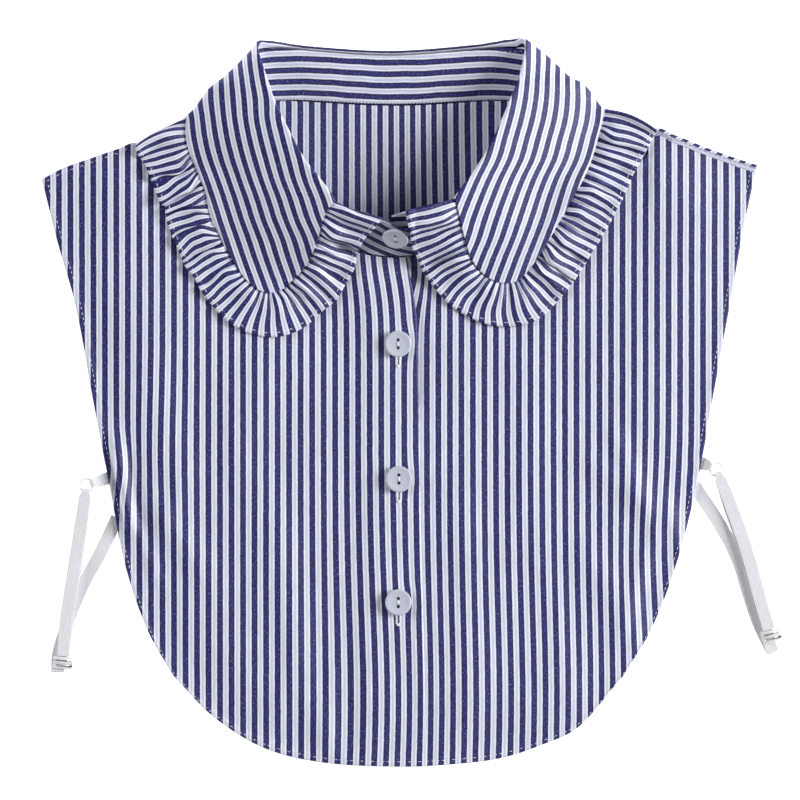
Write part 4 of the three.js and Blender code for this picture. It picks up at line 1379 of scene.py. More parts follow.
@dataclass(frozen=True)
class WovenElastic:
    """Off-white elastic with ribs along it."""

    name: str = "white_elastic"
    colour: Colour = (0.86, 0.86, 0.89)
    rib: float = 0.00075
    weft: float = 0.0006

    def material(self, effects: Effects) -> Material:
        """Build the finish.

        Args:
            effects: Shared node groups.

        Returns:
            The material.
        """
        material, nodes, shader = new_material(self.name)
        flat = nodes.add("ShaderNodeUVMap", uv_map="flat").outputs[0]
        split = nodes.add("ShaderNodeSeparateXYZ", {0: flat}).outputs
        ribs = nodes.sum("SINE", nodes.times(split[0], 2 * math.pi / self.rib))
        weft = nodes.sum("SINE", nodes.times(split[1], 2 * math.pi / self.weft))
        crossed = nodes.times(ribs, weft)
        height = nodes.sum("MULTIPLY_ADD", crossed, 0.5, nodes.times(ribs, 0.4))
        tone = nodes.group(effects.mottle, Place=flat, Size=400.0, Amount=0.1).outputs["Tone"]
        # Colour darker in the rib hollows and lighter on the ribs: painted shade, over the random mottle
        # tone.
        tone_and_rib_shade = nodes.times(tone, nodes.step(height, -0.9, 0.7, 0.82, 1.04))
        nodes.join(tinted(nodes, self.colour, tone_and_rib_shade), shader.inputs["Base Color"])
        shader.inputs["Roughness"].default_value = 0.8
        shader.inputs["Sheen Weight"].default_value = 0.1
        nodes.join(nodes.bump(height, 0.00012, 0.8), shader.inputs["Normal"])
        return material


@dataclass(frozen=True)
class PolishedPlastic:
    """Milky white moulded plastic."""

    name: str
    colour: Colour
    roughness: float = 0.3

    def material(self, effects: Effects) -> Material:
        """Build the finish.

        Args:
            effects: Shared node groups.

        Returns:
            The material.
        """
        material, nodes, shader = new_material(self.name)
        place = nodes.add("ShaderNodeTexCoord").outputs["Object"]
        swirl = nodes.group(effects.mottle, Place=place, Size=160.0, Amount=0.09).outputs["Tone"]
        nodes.join(tinted(nodes, self.colour, swirl), shader.inputs["Base Color"])
        scuff = nodes.noise(place, 900.0, 3.0)
        nodes.join(nodes.step(scuff, 0.3, 0.8, self.roughness - 0.05, self.roughness + 0.15),
                   shader.inputs["Roughness"])
        shader.inputs["Coat Weight"].default_value = 0.15
        nodes.join(nodes.bump(scuff, 0.00002, 0.3), shader.inputs["Normal"])
        return material


@dataclass(frozen=True)
class PaleFloor:
    """Plain pale studio floor."""

    name: str = "pale_floor"
    colour: Colour = (0.9, 0.9, 0.9)
    glow: float = 0.75

    def material(self, effects: Effects) -> Material:
        """Build the finish.

        Args:
            effects: Shared node groups.

        Returns:
            The material.
        """
        material, nodes, shader = new_material(self.name)
        place = nodes.add("ShaderNodeTexCoord").outputs["Object"]
        tone = nodes.group(effects.mottle, Place=place, Size=3.0, Amount=0.01).outputs["Tone"]
        nodes.join(tinted(nodes, self.colour, tone), shader.inputs["Base Color"])
        shader.inputs["Roughness"].default_value = 0.9
        shader.inputs["Emission Color"].default_value = (1, 1, 1, 1)
        shader.inputs["Emission Strength"].default_value = self.glow
        return material


@dataclass
class Finishes:
    """All the materials."""

    effects: Effects

    def __post_init__(self) -> None:
        """Build each finish once."""
        make = self.effects
        self.cotton = StripedCotton("striped_cotton").material(make)
        self.thread = ThreadAndPaintedShadow().material(make)
        # Navy copy of the thread finish: painted shadow, for the dark scalloped line under the stand's foot
        # seam.
        self.painted_seam_shadow = ThreadAndPaintedShadow("painted_seam_shadow", (0.012, 0.012, 0.06)).material(make)
        self.elastic = WovenElastic().material(make)
        self.button = PolishedPlastic("button_plastic", (0.56, 0.585, 0.67), 0.27).material(make)
        self.hardware = PolishedPlastic("ring_plastic", (0.82, 0.82, 0.82), 0.35).material(make)
        self.floor = PaleFloor().material(make)


# Making pieces

def new_object(name: str, data: ID) -> Object:
    """An object in the scene with its data."""
    item = bpy.data.objects.new(name, data)
    bpy.context.scene.collection.objects.link(item)
    return item


def spin_round(mesh: BMesh, section: list, steps: int) -> None:
    """Spin a closed section once round Z.

    Args:
        mesh: The mesh that holds the section.
        section: Its vertices and edges.
        steps: Steps of the full turn.
    """
    bmesh.ops.spin(mesh, geom=section, cent=(0, 0, 0), axis=(0, 0, 1), angle=2 * math.pi, steps=steps,
                   use_merge=True)
    bmesh.ops.remove_doubles(mesh, verts=mesh.verts, dist=MERGE)
    bmesh.ops.recalc_face_normals(mesh, faces=mesh.faces)


def add_wall(piece: Object, thickness: float) -> Modifier:
    """Thickness added evenly to both sides of a sheet.

    Args:
        piece: The sheet.
        thickness: Its thickness in mm.

    Returns:
        The modifier.
    """
    wall = piece.modifiers.new("thickness", "SOLIDIFY")
    wall.thickness = thickness * MM
    wall.offset = 0.0
    return wall


def soften_edges(piece: Object, width: float) -> None:
    """Round the sharp edges of a piece.

    Args:
        piece: The piece.
        width: Width of the rounding in mm.
    """
    rounding = piece.modifiers.new("soft_edges", "BEVEL")
    rounding.width = width * MM
    rounding.segments = 2
    rounding.limit_method = "ANGLE"


def place_piece(name: str, mesh: BMesh, material: Material, slot: Slot,
                replaces: Sequence[str] = ()) -> Object:
    """Turn a finished bmesh into a piece of the object.

    Args:
        name: Name of the piece.
        mesh: Its shape, in metres.
        material: Its finish.
        slot: Not used.
        replaces: CAD nodes that it stands for.

    Returns:
        The piece.
    """
    data = bpy.data.meshes.new(name)
    for face in mesh.faces:
        face.smooth = True
    mesh.to_mesh(data)
    mesh.free()
    piece = new_object(name, data)
    data.materials.append(material)
    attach(piece, ROOT)
    if replaces:
        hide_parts(*replaces)
    log.info("%s: %d faces", name, len(data.polygons))
    return piece


HEM_STEPS = (0.0, 0.7, 1.6, 2.6, 3.7, 4.1, 4.6)
HEM_WIDTH = 4.15


def crowded(length: float, cell: float) -> list[float]:
    """Even steps from 0 to 1 that crowd at the hems of both ends.

    Args:
        length: Length in mm.
        cell: Size of an even step in mm.

    Returns:
        The steps as shares of the length.
    """
    near = [d / length for d in HEM_STEPS]
    far = [1 - d / length for d in reversed(HEM_STEPS)]
    count = max(1, round((far[0] - near[-1]) * length / cell))
    return near + [mix(near[-1], far[0], i / count) for i in range(1, count)] + far


@dataclass
class Hems:
    """Which borders of a sheet are hemmed."""

    low_u: bool = True
    high_u: bool = True
    low_v: bool = True
    high_v: bool = True


@dataclass
class ClothSheet:
    """A sheet of cloth on a grid, with its flat map and its hems."""

    name: str
    surface: Surface
    us: Sequence[float]
    vs: Sequence[float]
    flat: FlatMap
    hems: Hems = field(default_factory=Hems)
    thick: float = 0.95
    thin: float = 0.6

    def reaches(self, points: list[list[Vector]]) -> dict[tuple[int, int], tuple[float, ...]]:
        """Distances of each grid point from the four borders, along the cloth.

        Args:
            points: Grid points, row by row.

        Returns:
            Four distances for each column and row.
        """
        columns, rows = len(self.us), len(self.vs)
        along = [[0.0] * columns for _ in range(rows)]
        up = [[0.0] * columns for _ in range(rows)]
        for j in range(rows):
            for i in range(1, columns):
                along[j][i] = along[j][i - 1] + (points[j][i] - points[j][i - 1]).length
        for j in range(1, rows):
            for i in range(columns):
                up[j][i] = up[j - 1][i] + (points[j][i] - points[j - 1][i]).length
        return {
            (i, j): (along[j][i], along[j][-1] - along[j][i], up[j][i], up[-1][i] - up[j][i])
            for j in range(rows) for i in range(columns)
        }

    def build(self) -> BMesh:
        """Build the sheet's middle surface.

        Returns:
            The mesh in metres, with its flat map and its hems marked.
        """
        mesh = bmesh.new()
        flat_map = mesh.loops.layers.uv.new("flat")
        bmesh.ops.create_grid(mesh, x_segments=len(self.us) - 1, y_segments=len(self.vs) - 1, size=0.5)
        mesh.verts.layers.deform.verify()
        body = mesh.verts.layers.deform.active
        points = [[self.surface(u, v) for u in self.us] for v in self.vs]
        reaches = self.reaches(points)
        last_i, last_j = len(self.us) - 1, len(self.vs) - 1
        on = (self.hems.low_u, self.hems.high_u, self.hems.low_v, self.hems.high_v)
        flats = {}
        for vert in mesh.verts:
            i, j = round((vert.co.x + 0.5) * last_i), round((vert.co.y + 0.5) * last_j)
            reach = reaches[i, j]
            flats[vert] = self.flat(self.us[i], self.vs[j], points[j][i], reach)
            near = min(r for r, hemmed in zip(reach, on) if hemmed)
            vert[body][0] = 1.0 if near < HEM_WIDTH else self.thin / self.thick
            vert.co = points[j][i] * MM
        for face in mesh.faces:
            for loop in face.loops:
                across, along = flats[loop.vert]
                loop[flat_map].uv = (across * MM, along * MM)
        return mesh

    def finish(self, mesh: BMesh, material: Material,
               replaces: Sequence[str]) -> Object:
        """Give the sheet its thickness and its place in the object.

        Args:
            mesh: The middle surface.
            material: Its finish.
            replaces: CAD nodes that it stands for.

        Returns:
            The piece.
        """
        piece = place_piece(self.name, mesh, material, Slot.COTTON, replaces)
        piece.vertex_groups.new(name="hem")
        add_wall(piece, self.thick).vertex_group = "hem"
        return piece


class Edge(Enum):
    """Borders of a sheet, each with its inward step."""

    LOW_U = (1, 0)
    HIGH_U = (-1, 0)
    LOW_V = (0, 1)
    HIGH_V = (0, -1)

    def place(self, t: float) -> Pair:
        """U and v at a share of the border."""
        if self is Edge.LOW_U:
            return 0.0, t
        if self is Edge.HIGH_U:
            return 1.0, t
        return (t, 0.0) if self is Edge.LOW_V else (t, 1.0)


@dataclass
class Stitching:
    """Machine stitches joined into one piece."""

    name: str
    length: float = 1.75
    gap: float = 0.75
    radius: float = 0.17
    first: float = 0.3
    flatness: float = 0.8

    def __post_init__(self) -> None:
        """Start an empty mesh."""
        self.mesh = bmesh.new()

    def stitch(self, a: Vector, b: Vector, normal: Vector, radius: float | None = None) -> None:
        """One stitch from a to b.

        Args:
            a: Start in mm.
            b: End in mm.
            normal: Direction out of the cloth.
            radius: Half its thickness, or the row's own.
        """
        radius = radius or self.radius
        heading = (b - a).normalized()
        side = normal.cross(heading).normalized()
        up = heading.cross(side)
        turn = Matrix((heading, side, up)).transposed().to_4x4()
        size = Matrix.Diagonal((0.5 * (b - a).length * MM, radius * MM, self.flatness * radius * MM, 1.0))
        place = Matrix.Translation((a + b) * 0.5 * MM)
        bmesh.ops.create_icosphere(self.mesh, subdivisions=1, radius=1.0, matrix=place @ turn @ size)

    def row(self, line: Sequence[tuple[Vector, Vector]]) -> None:
        """Stitches along a line of places and normals.

        Args:
            line: Places in mm, each with its normal.
        """
        step = self.length + self.gap
        run, at = 0.0, self.first
        marks: list[tuple[float, Vector, Vector]] = [(0.0, *line[0])]
        for (a, _), (b, normal) in zip(line, line[1:]):
            run += (b - a).length
            marks.append((run, b, normal))
        k = 0
        while at + self.length < run:
            ends = []
            for goal in (at, at + self.length):
                while marks[k + 1][0] < goal:
                    k += 1
                t = (goal - marks[k][0]) / max(marks[k + 1][0] - marks[k][0], TINY)
                ends.append(marks[k][1].lerp(marks[k + 1][1], t))
            self.stitch(ends[0], ends[1], marks[k][2])
            at += step

    def along(self, surface: Surface, edge: Edge, inset: float, lift: float,
              start: float = 0.0, end: float = 1.0, count: int = 160) -> None:
        """A row of stitches inside a border of a sheet.

        Args:
            surface: The sheet's middle surface.
            edge: The border that it follows.
            inset: Distance from the border in mm.
            lift: Height over the middle surface, below it if negative.
            start: Share of the border where the row begins.
            end: Share where it ends.
            count: Steps that the border is followed in.
        """
        probe = 0.02
        du, dv = edge.value
        line = []
        for i in range(count + 1):
            u, v = edge.place(mix(start, end, i / count))
            reach = (surface(u + du * probe, v + dv * probe) - surface(u, v)).length
            step = probe * inset / reach
            u, v = u + du * step, v + dv * step
            normal = surface_normal(surface, u, v)
            line.append((surface(u, v) + normal * lift, normal * (1 if lift > 0 else -1)))
        self.row(line)

    def finish(self, material: Material) -> Object:
        """Place the stitches."""
        return place_piece(self.name, self.mesh, material, Slot.COTTON)


@dataclass
class Bib:
    """Front and back panels with their hems, buttonholes and stitches."""

    shape: BibShape
    finishes: Finishes
    front_size: Pair = (155.0, 300.0)
    back_size: Pair = (300.0, 280.0)
    cell: float = 1.7
    back_cell: float = 3.4
    slit_length: float = 13.5
    slit_width: float = 0.5
    slit_drop: float = 3.2
    slit_room: Pair = (6.0, 12.0)
    thread_lift: float = 0.52
    hem_inset: float = 2.3
    top_inset: float = 2.0
    hole_lift: float = 0.44
    hole_pitch: float = 0.42
    hole_radius: float = 0.25
    hole_span: Pair = (0.2, 1.5)
    hole_slope: float = 0.1
    bar_stitches: int = 4
    bar_pitch: float = 0.32
    bar_taper: float = 0.25
    stripe_right: float = -140.03
    stripe_left: float = 12.73
    stripe_back: float = -52.8
    pulls: Rows = (
        (-9, -142, 2.6, 26, 60), (60, -142, 1.8, 50, 55), (133, -60, -1.6, 16, 28),
        (116, -80, -1.6, 14, 34), (-113, -24, -0.9, 14, 30), (-133, -32, 2.0, 7, 13),
    )
    pulls_behind: Rows = ((30, 140, -2.7, 28, 80),)
    seam_turn: float = 2.4
    seam_white: float = 1.9
    seam_end: float = 3.5
    seam_from: float = 119.0
    pulls_right: Rows = (
        (-7, 70.8, -4.0, 26, 20), (4.75, 27.5, 1.4, 4.3, 6.6), (4.75, -37, 0.9, 4.3, 6.6),
        (4.75, -95.5, 0.9, 4.3, 6.6),
    )
    pulls_left: Rows = ((7.1, 61.8, 5.5, 6.5, 17),)

    def dressed(self, surface: Surface) -> Surface:
        """A panel's surface with its small waves."""
        def place(u: float, v: float) -> Vector:
            """Place on the uneven panel."""
            point = surface(u, v)
            point.z += self.shape.relief(point.x, point.y)
            return point
        return place

    @staticmethod
    def striped(first: float, pulls: Sequence[Sequence[float]] = ()) -> FlatMap:
        """Flat map of a panel whose stripes run up the body.

        Args:
            first: X of one blue stripe in mm.
            pulls: Place, sideways shift and half widths of each pull on the cloth.

        Returns:
            The map.
        """
        def flat(u: float, v: float, point: Vector, reach: Sequence[float]) -> Pair:
            """Flat place of a point."""
            shift = sum(
                by * math.exp(-(((point.x - x) / wide) ** 2) - ((point.y - y) / high) ** 2)
                for x, y, by, wide, high in pulls
            )
            return point.x - first - shift, point.y
        return flat

    def left_flat(self, u: float, v: float, point: Vector, reach: Sequence[float]) -> Pair:
        """Flat place on the left front, with the seam turned over at its shoulder.

        Args:
            u: Share across the panel.
            v: Share up the panel.
            point: The place in mm.
            reach: Distances from the four borders.

        Returns:
            Place across and along the stripes.
        """
        if point.x > self.seam_from and self.seam_white < reach[3] < self.seam_end:
            return STRIPE_PITCH / 2, point.y
        across, up = self.striped(self.stripe_left, self.pulls + self.pulls_left)(u, v, point, reach)
        if point.x > self.seam_from and reach[3] <= self.seam_white:
            across += self.seam_turn + reach[3]
        return across, up

    def cut_slits(self, mesh: BMesh) -> None:
        """Cut a buttonhole under each button.

        Args:
            mesh: The right front.
        """
        half = (self.slit_width / 2, self.slit_length / 2)

        def around(middle: Pair, reach: Sequence[float]) -> list[BMFace]:
            """Faces whose middles lie so near a place."""
            return [
                face for face in mesh.faces
                if all(abs(face.calc_center_median()[k] - middle[k] * MM) < reach[k] * MM for k in (0, 1))
            ]

        for x, y in self.shape.buttons:
            y -= self.slit_drop
            sides = [((x - half[0], y), (1, 0)), ((x + half[0], y), (1, 0)),
                     ((x, y - half[1]), (0, 1)), ((x, y + half[1]), (0, 1))]
            for place, normal in sides:
                near = around((x, y), self.slit_room)
                edges = {edge for face in near for edge in face.edges}
                corners = {vert for face in near for vert in face.verts}
                bmesh.ops.bisect_plane(
                    mesh, geom=near + list(edges | corners), plane_co=Vector((*place, 0)) * MM,
                    plane_no=Vector((*normal, 0)), dist=TINY,
                )
            bmesh.ops.delete(mesh, geom=around((x, y), half), context="FACES")

    def sew_buttonholes(self, sewing: Stitching) -> None:
        """Close stitches round each slit, with a bar at each end.

        Args:
            sewing: The piece that the stitches join.
        """
        up = Vector((0, 0, 1))
        start, reach = self.hole_span
        count = round(self.slit_length / self.hole_pitch)
        for x, y in self.shape.buttons:
            y -= self.slit_drop
            height = self.shape.right_height(x, y) + self.shape.relief(x, y) + self.hole_lift
            for i in range(count + 1):
                at = y + (i / count - 0.5) * self.slit_length
                for side in (-1, 1):
                    stray = soft_noise(x, 3.1 * at, 2.0 * side)
                    inner = Vector((x + side * start, at + 0.3 * stray, height))
                    wide = side * (reach + 0.5 * stray)
                    outer = Vector((x + wide, at - 0.4 * stray, height - self.hole_slope))
                    sewing.stitch(inner, outer, up, self.hole_radius)
            for end in (-1, 1):
                for k in range(self.bar_stitches):
                    at = y + end * (self.slit_length / 2 + start + self.bar_pitch * k)
                    wide = reach - self.bar_taper * k
                    ends = [Vector((x + side * wide, at, height)) for side in (-1, 1)]
                    sewing.stitch(*ends, up, self.hole_radius)

    def build(self) -> None:
        """Build the three panels and their stitching."""
        cotton = self.finishes.cotton
        us, vs = (crowded(size, self.cell) for size in self.front_size)
        right = ClothSheet("front_right_cloth", self.dressed(self.shape.right_front), us, vs,
                           self.striped(self.stripe_right, self.pulls + self.pulls_right))
        mesh = right.build()
        self.cut_slits(mesh)
        piece = right.finish(mesh, cotton, ["front_right"])
        left = ClothSheet("front_left_cloth", self.dressed(self.shape.left_front), us, vs, self.left_flat)
        piece = left.finish(left.build(), cotton, ["front_left"])
        us, vs = (crowded(size, self.back_cell) for size in self.back_size)
        back = ClothSheet("back_cloth", self.shape.back, us, vs,
                          self.striped(self.stripe_back, self.pulls_behind))
        piece = back.finish(back.build(), cotton, ["back_panel"])
        self.sew()

    def sew(self) -> None:
        """Topstitch the panels' hems."""
        sewing = Stitching("bib_stitches")
        lift, inset = self.thread_lift, self.hem_inset
        right, left = self.dressed(self.shape.right_front), self.dressed(self.shape.left_front)
        for surface, outer in ((right, Edge.LOW_U), (left, Edge.HIGH_U)):
            sewing.along(surface, outer, inset, lift, 0.008, 0.992)
            sewing.along(surface, Edge.LOW_V, inset, lift, 0.015, 0.985)
        sewing.along(right, Edge.HIGH_V, self.top_inset, lift, 0.008, 0.2)
        sewing.along(left, Edge.HIGH_V, self.top_inset, lift, 0.8, 0.992)
        for edge in (Edge.LOW_U, Edge.HIGH_U, Edge.LOW_V):
            sewing.along(self.shape.back, edge, inset, -lift, 0.01, 0.99)
        self.sew_buttonholes(sewing)
        sewing.finish(self.finishes.thread)


@dataclass
class Collar:
    """Stand and leaf with their stitches."""

    shape: CollarShape
    finishes: Finishes
    stand_stripe: float = 3.51
    roll_stripe: float = 38.84
    stand_tilt: float = 0.5
    tilt_from: float = 252.3
    stand_waver: float = 0.5
    waver_size: Pair = (12.0, 30.0)
    # A pair holds a turn and the degrees that the change there takes.
    front_right: Pair = (150.0, 14.0)
    front_left: Pair = (26.0, 14.0)
    stand_size: Pair = (340.0, 24.0)
    stand_cells: Pair = (2.4, 1.8)
    leaf_length: float = 470.0
    leaf_cell: float = 2.0
    roll_rows: int = 10
    roll_row: float = 1 / 60
    leaf_rows: int = 26
    leaf_stripes: Table = table(
        ("y", "right", "rightPitch", "left", "leftPitch"),
        (45, -71.2, 5.2, -63.3, 5.4), (66.5, -79.1, 5.32, -71, 5.42), (76, -82.3, 5.37, -74.6, 5.37),
        (85.5, -85.5, 5.25, -78.4, 5.49), (95, -88.4, 5.23, -81.2, 5.4), (104.5, -91.6, 5.18, -84.3, 5.29),
        (114, -95.1, 5.3, -88.7, 5.27), (123.5, -97.4, 5.27, -91.3, 5.25), (133, -98.6, 5.15, -93.7, 5.21),
        (142.5, -99.9, 5.26, -94.1, 4.99), (152, -99.3, 4.9, -93.4, 4.75), (161.5, -99.5, 4.75, -93.5, 4.7),
        (175, -99.5, 4.7, -93.5, 4.7),
    )

    def stripe_place(self, x: float, y: float) -> float:
        """Stripes passed at a place on the turned-down leaf, in from its outer edge."""
        side = "right" if x < self.shape.bib.neck.x else "left"
        across = (x if side == "right" else -x) - self.leaf_stripes.read("y", side, y)
        return STRIPE_PITCH * across / self.leaf_stripes.read("y", side + "Pitch", y)

    def leaf_flat(self, u: float, v: float, point: Vector, reach: Sequence[float]) -> Pair:
        """Flat place on the leaf.

        Args:
            u: Share of the way round the neck.
            v: Share of the section, from its seam.
            point: The place in mm.
            reach: Distances from the four borders.

        Returns:
            Place across and along the stripes in mm.
        """
        shape = self.shape
        turn = shape.leaf_turn(u, v)
        past = shape.roll_reach(turn) - reach[2]
        plain = self.roll_stripe + past
        (right, right_run), (left, left_run) = self.front_right, self.front_left
        front = max(ease((turn - right) / right_run), ease((left - turn) / left_run))
        if front <= 0:
            return plain, reach[0]
        if past > 0:
            roll = shape.section_point("roll", turn)
            return mix(plain, self.stripe_place(roll.x, roll.y) + past, front), reach[0]
        return mix(plain, self.stripe_place(point.x, point.y), front), reach[0]

    def stand_flat(self, u: float, v: float, point: Vector, reach: Sequence[float]) -> Pair:
        """Flat place on the stand, tilted at the buttoned end and wavering round the back.

        Args:
            u: Share of the way round.
            v: Not used.
            point: Not used.
            reach: Distances from the four borders.

        Returns:
            Place across and along the stripes.
        """
        turn = mix(self.shape.stand_right, self.shape.stand_left, u)
        tilt = self.stand_tilt * max(0.0, turn - self.tilt_from)
        waver = soft_noise(reach[0] / self.waver_size[0], reach[2] / self.waver_size[1], 2.4)
        return reach[2] - self.stand_stripe + tilt + self.stand_waver * waver, reach[0]

    def build(self) -> None:
        """Build the stand, the leaf and their stitching."""
        cotton = self.finishes.cotton
        shape = self.shape
        us, vs = (crowded(size, cell) for size, cell in zip(self.stand_size, self.stand_cells))
        stand = ClothSheet("stand_cloth", shape.stand, us, vs, self.stand_flat,
                           Hems(low_v=False, high_v=False), thick=0.95, thin=0.9)
        piece = stand.finish(stand.build(), cotton, ["collar_stand"])
        roll = self.roll_rows * self.roll_row
        rows = [i * self.roll_row for i in range(self.roll_rows)]
        rows += [mix(roll, 1, i / self.leaf_rows) for i in range(self.leaf_rows + 1)]
        leaf = ClothSheet("leaf_cloth", shape.leaf, crowded(self.leaf_length, self.leaf_cell), rows,
                          self.leaf_flat, Hems(low_v=False), thick=0.85, thin=0.8)
        piece = leaf.finish(leaf.build(), cotton, ["collar_leaf"])
        sewing = Stitching("collar_stitches", radius=0.14)
        sewing.along(shape.stand, Edge.HIGH_V, 1.6, 0.52, 0.01, 0.99, 240)
        sewing.finish(self.finishes.thread)
        # Row of navy beads along the stand's foot: painted seam shadow, a dark scalloped line standing for
        # the shade under the seam.
        seam = Stitching("stand_seam_shadow", length=0.95, gap=0.7, radius=0.24)
        seam.along(shape.stand, Edge.LOW_V, 0.15, 0.42, 0.08, 0.99, 300)
        seam.finish(self.finishes.painted_seam_shadow)


@dataclass
class Frill:
    """Gathered strip with its stitched hem."""

    shape: FrillShape
    finishes: Finishes
    columns: int = 1500
    cut_width: float = 21.0
    rows: tuple[float, ...] = (
        0, 0.05, 0.09, 0.14, 0.2, 0.26, 0.33, 0.4, 0.48, 0.56, 0.64, 0.71, 0.78, 0.84, 0.9, 0.95, 1,
    )

    def build(self) -> None:
        """Build the strip and its stitching."""
        shape = self.shape
        columns = [i / self.columns for i in range(self.columns + 1)]
        frill = ClothSheet(
            "frill_cloth", shape.point, columns, self.rows,
            lambda u, v, point, reach: (shape.flat_length(u), v * self.cut_width),
            Hems(low_u=False, high_u=False, low_v=False), thick=0.62, thin=0.42,
        )
        piece = frill.finish(frill.build(), self.finishes.cotton, ["frill"])
        cut = shape.flat_length(1.0)
        log.info("frill: %.0f mm of seam, %.0f mm of cloth", shape.length, cut)
        sewing = Stitching("frill_stitches", radius=0.19, length=2.3, gap=0.7)
        sewing.along(shape.point, Edge.HIGH_V, 2.1, 0.34, 0.002, 0.998, self.columns)
        sewing.finish(self.finishes.thread)


# Buttons and elastic

@dataclass
class Buttons:
    """Four two-hole buttons, each sewn on with white thread."""

    bib: BibShape
    collar: CollarShape
    finishes: Finishes
    radius: float = 6.25
    height: float = 2.2
    hole: float = 0.8
    spread: float = 1.9
    gap: float = 0.45
    # Each point of the face is a share of the radius and a depth below the rim, each of the side
    # a share of the radius and one of the height.
    face: tuple[Pair, ...] = (
        (0, 0.42), (0.42, 0.42), (0.62, 0.34), (0.74, 0.16), (0.83, 0.05), (0.9, 0), (0.955, 0.08),
        (0.988, 0.3),
    )
    side: tuple[Pair, ...] = ((1, 0.68), (0.985, 0.5), (0.93, 0.3), (0.8, 0.1), (0.7, 0), (0, 0))
    collar_turn: float = 272.4
    collar_across: float = 0.7
    sides: int = 64
    drill_sides: int = 20
    drill_depth: float = 4.0
    thread_radius: float = 0.3
    thread_sunk: float = 0.3
    thread_short: float = 0.4
    thread_apart: float = 0.22

    def profile(self) -> list[Pair]:
        """Half section from the middle of the face, over the rim, to the middle of the back.

        Returns:
            Radius and height of each point in mm.
        """
        r, h = self.radius, self.height
        return [(r * x, h - depth) for x, depth in self.face] + [(r * x, h * up) for x, up in self.side]

    def round_part(self, mesh: BMesh, profile: Sequence[Pair]) -> None:
        """Spin a half section round Z."""
        verts = [mesh.verts.new(Vector((x, 0, z)) * MM) for x, z in profile]
        edges = [mesh.edges.new(pair) for pair in zip(verts, verts[1:])]
        spin_round(mesh, verts + edges, self.sides)

    def pierced(self, mesh: BMesh) -> BMesh:
        """Cut the two holes through a button.

        Args:
            mesh: The blank, which it frees.

        Returns:
            The button with its holes.
        """
        body = new_object("button_blank", bpy.data.meshes.new("button_blank"))
        mesh.to_mesh(body.data)
        mesh.free()
        drill = bmesh.new()
        for side in (-1, 1):
            radius = self.hole * MM
            bmesh.ops.create_cone(
                drill, cap_ends=True, segments=self.drill_sides, radius1=radius, radius2=radius,
                depth=self.drill_depth * self.height * MM,
                matrix=Matrix.Translation((0, side * self.spread * MM, 0)),
            )
        tool = new_object("button_drill", bpy.data.meshes.new("button_drill"))
        drill.to_mesh(tool.data)
        drill.free()
        cut = body.modifiers.new("holes", "BOOLEAN")
        cut.object = tool
        cut.solver = "EXACT"
        result = bmesh.new()
        result.from_object(body, bpy.context.evaluated_depsgraph_get())
        for item in (body, tool):
            bpy.data.meshes.remove(item.data)
        return result

    def stands(self) -> list[tuple[Vector, Vector]]:
        """Find where the buttons sit.

        Returns:
            Place and normal of each, the collar's first.
        """
        shape = self.collar
        u = (shape.stand_right - self.collar_turn) / (shape.stand_right - shape.stand_left)
        normal = surface_normal(shape.stand, u, self.collar_across)
        normal = normal if normal.z > 0 else -normal
        stands = [(shape.stand(u, self.collar_across), normal)]
        height, step = self.bib.right_height, self.spread
        for x, y in self.bib.buttons:
            slope_x = (height(x + step, y) - height(x - step, y)) / (2 * step)
            slope_y = (height(x, y + step) - height(x, y - step)) / (2 * step)
            point = Vector((x, y, height(x, y) + self.bib.relief(x, y)))
            stands.append((point, Vector((-slope_x, -slope_y, 1)).normalized()))
        return stands

    def build(self) -> None:
        """Make the buttons and their thread."""
        sewing = Stitching("button_threads", radius=self.thread_radius)
        for number, (point, normal) in enumerate(self.stands(), 1):
            mesh = bmesh.new()
            self.round_part(mesh, self.profile())
            mesh = self.pierced(mesh)
            turn = Vector((0, 0, 1)).rotation_difference(normal).to_matrix().to_4x4()
            place = point + normal * (CLOTH / 2 + self.gap)
            bmesh.ops.transform(mesh, matrix=Matrix.Translation(place * MM) @ turn, verts=mesh.verts)
            piece = place_piece(f"shirt_button_{number}", mesh, self.finishes.button, Slot.BUTTON,
                                [f"button_{number}"])
            smooth_by_angle(piece)
            up = turn.to_3x3() @ Vector((0, 1, 0))
            side = turn.to_3x3() @ Vector((1, 0, 0))
            face = place + normal * (self.height - self.thread_sunk)
            reach = up * (self.spread - self.thread_short)
            for shift in (-self.thread_apart, self.thread_apart):
                sewing.stitch(face + reach + side * shift, face - reach + side * shift, normal)
        sewing.finish(self.finishes.thread)


def smooth_by_angle(piece: Object, limit: float = 38.0) -> None:
    """Keep edges sharper than the limit crisp."""
    piece.data.set_sharp_from_angle(angle=math.radians(limit))


@dataclass(frozen=True)
class StrapRoute:
    """Places of one strap's pieces, in mm."""

    side: Side
    ring: Pair
    tab_from: Pair
    anchor: Pair
    low: tuple[Pair, ...]
    loop: Pair
    middle: tuple[Pair, ...]
    high: tuple[Pair, ...]


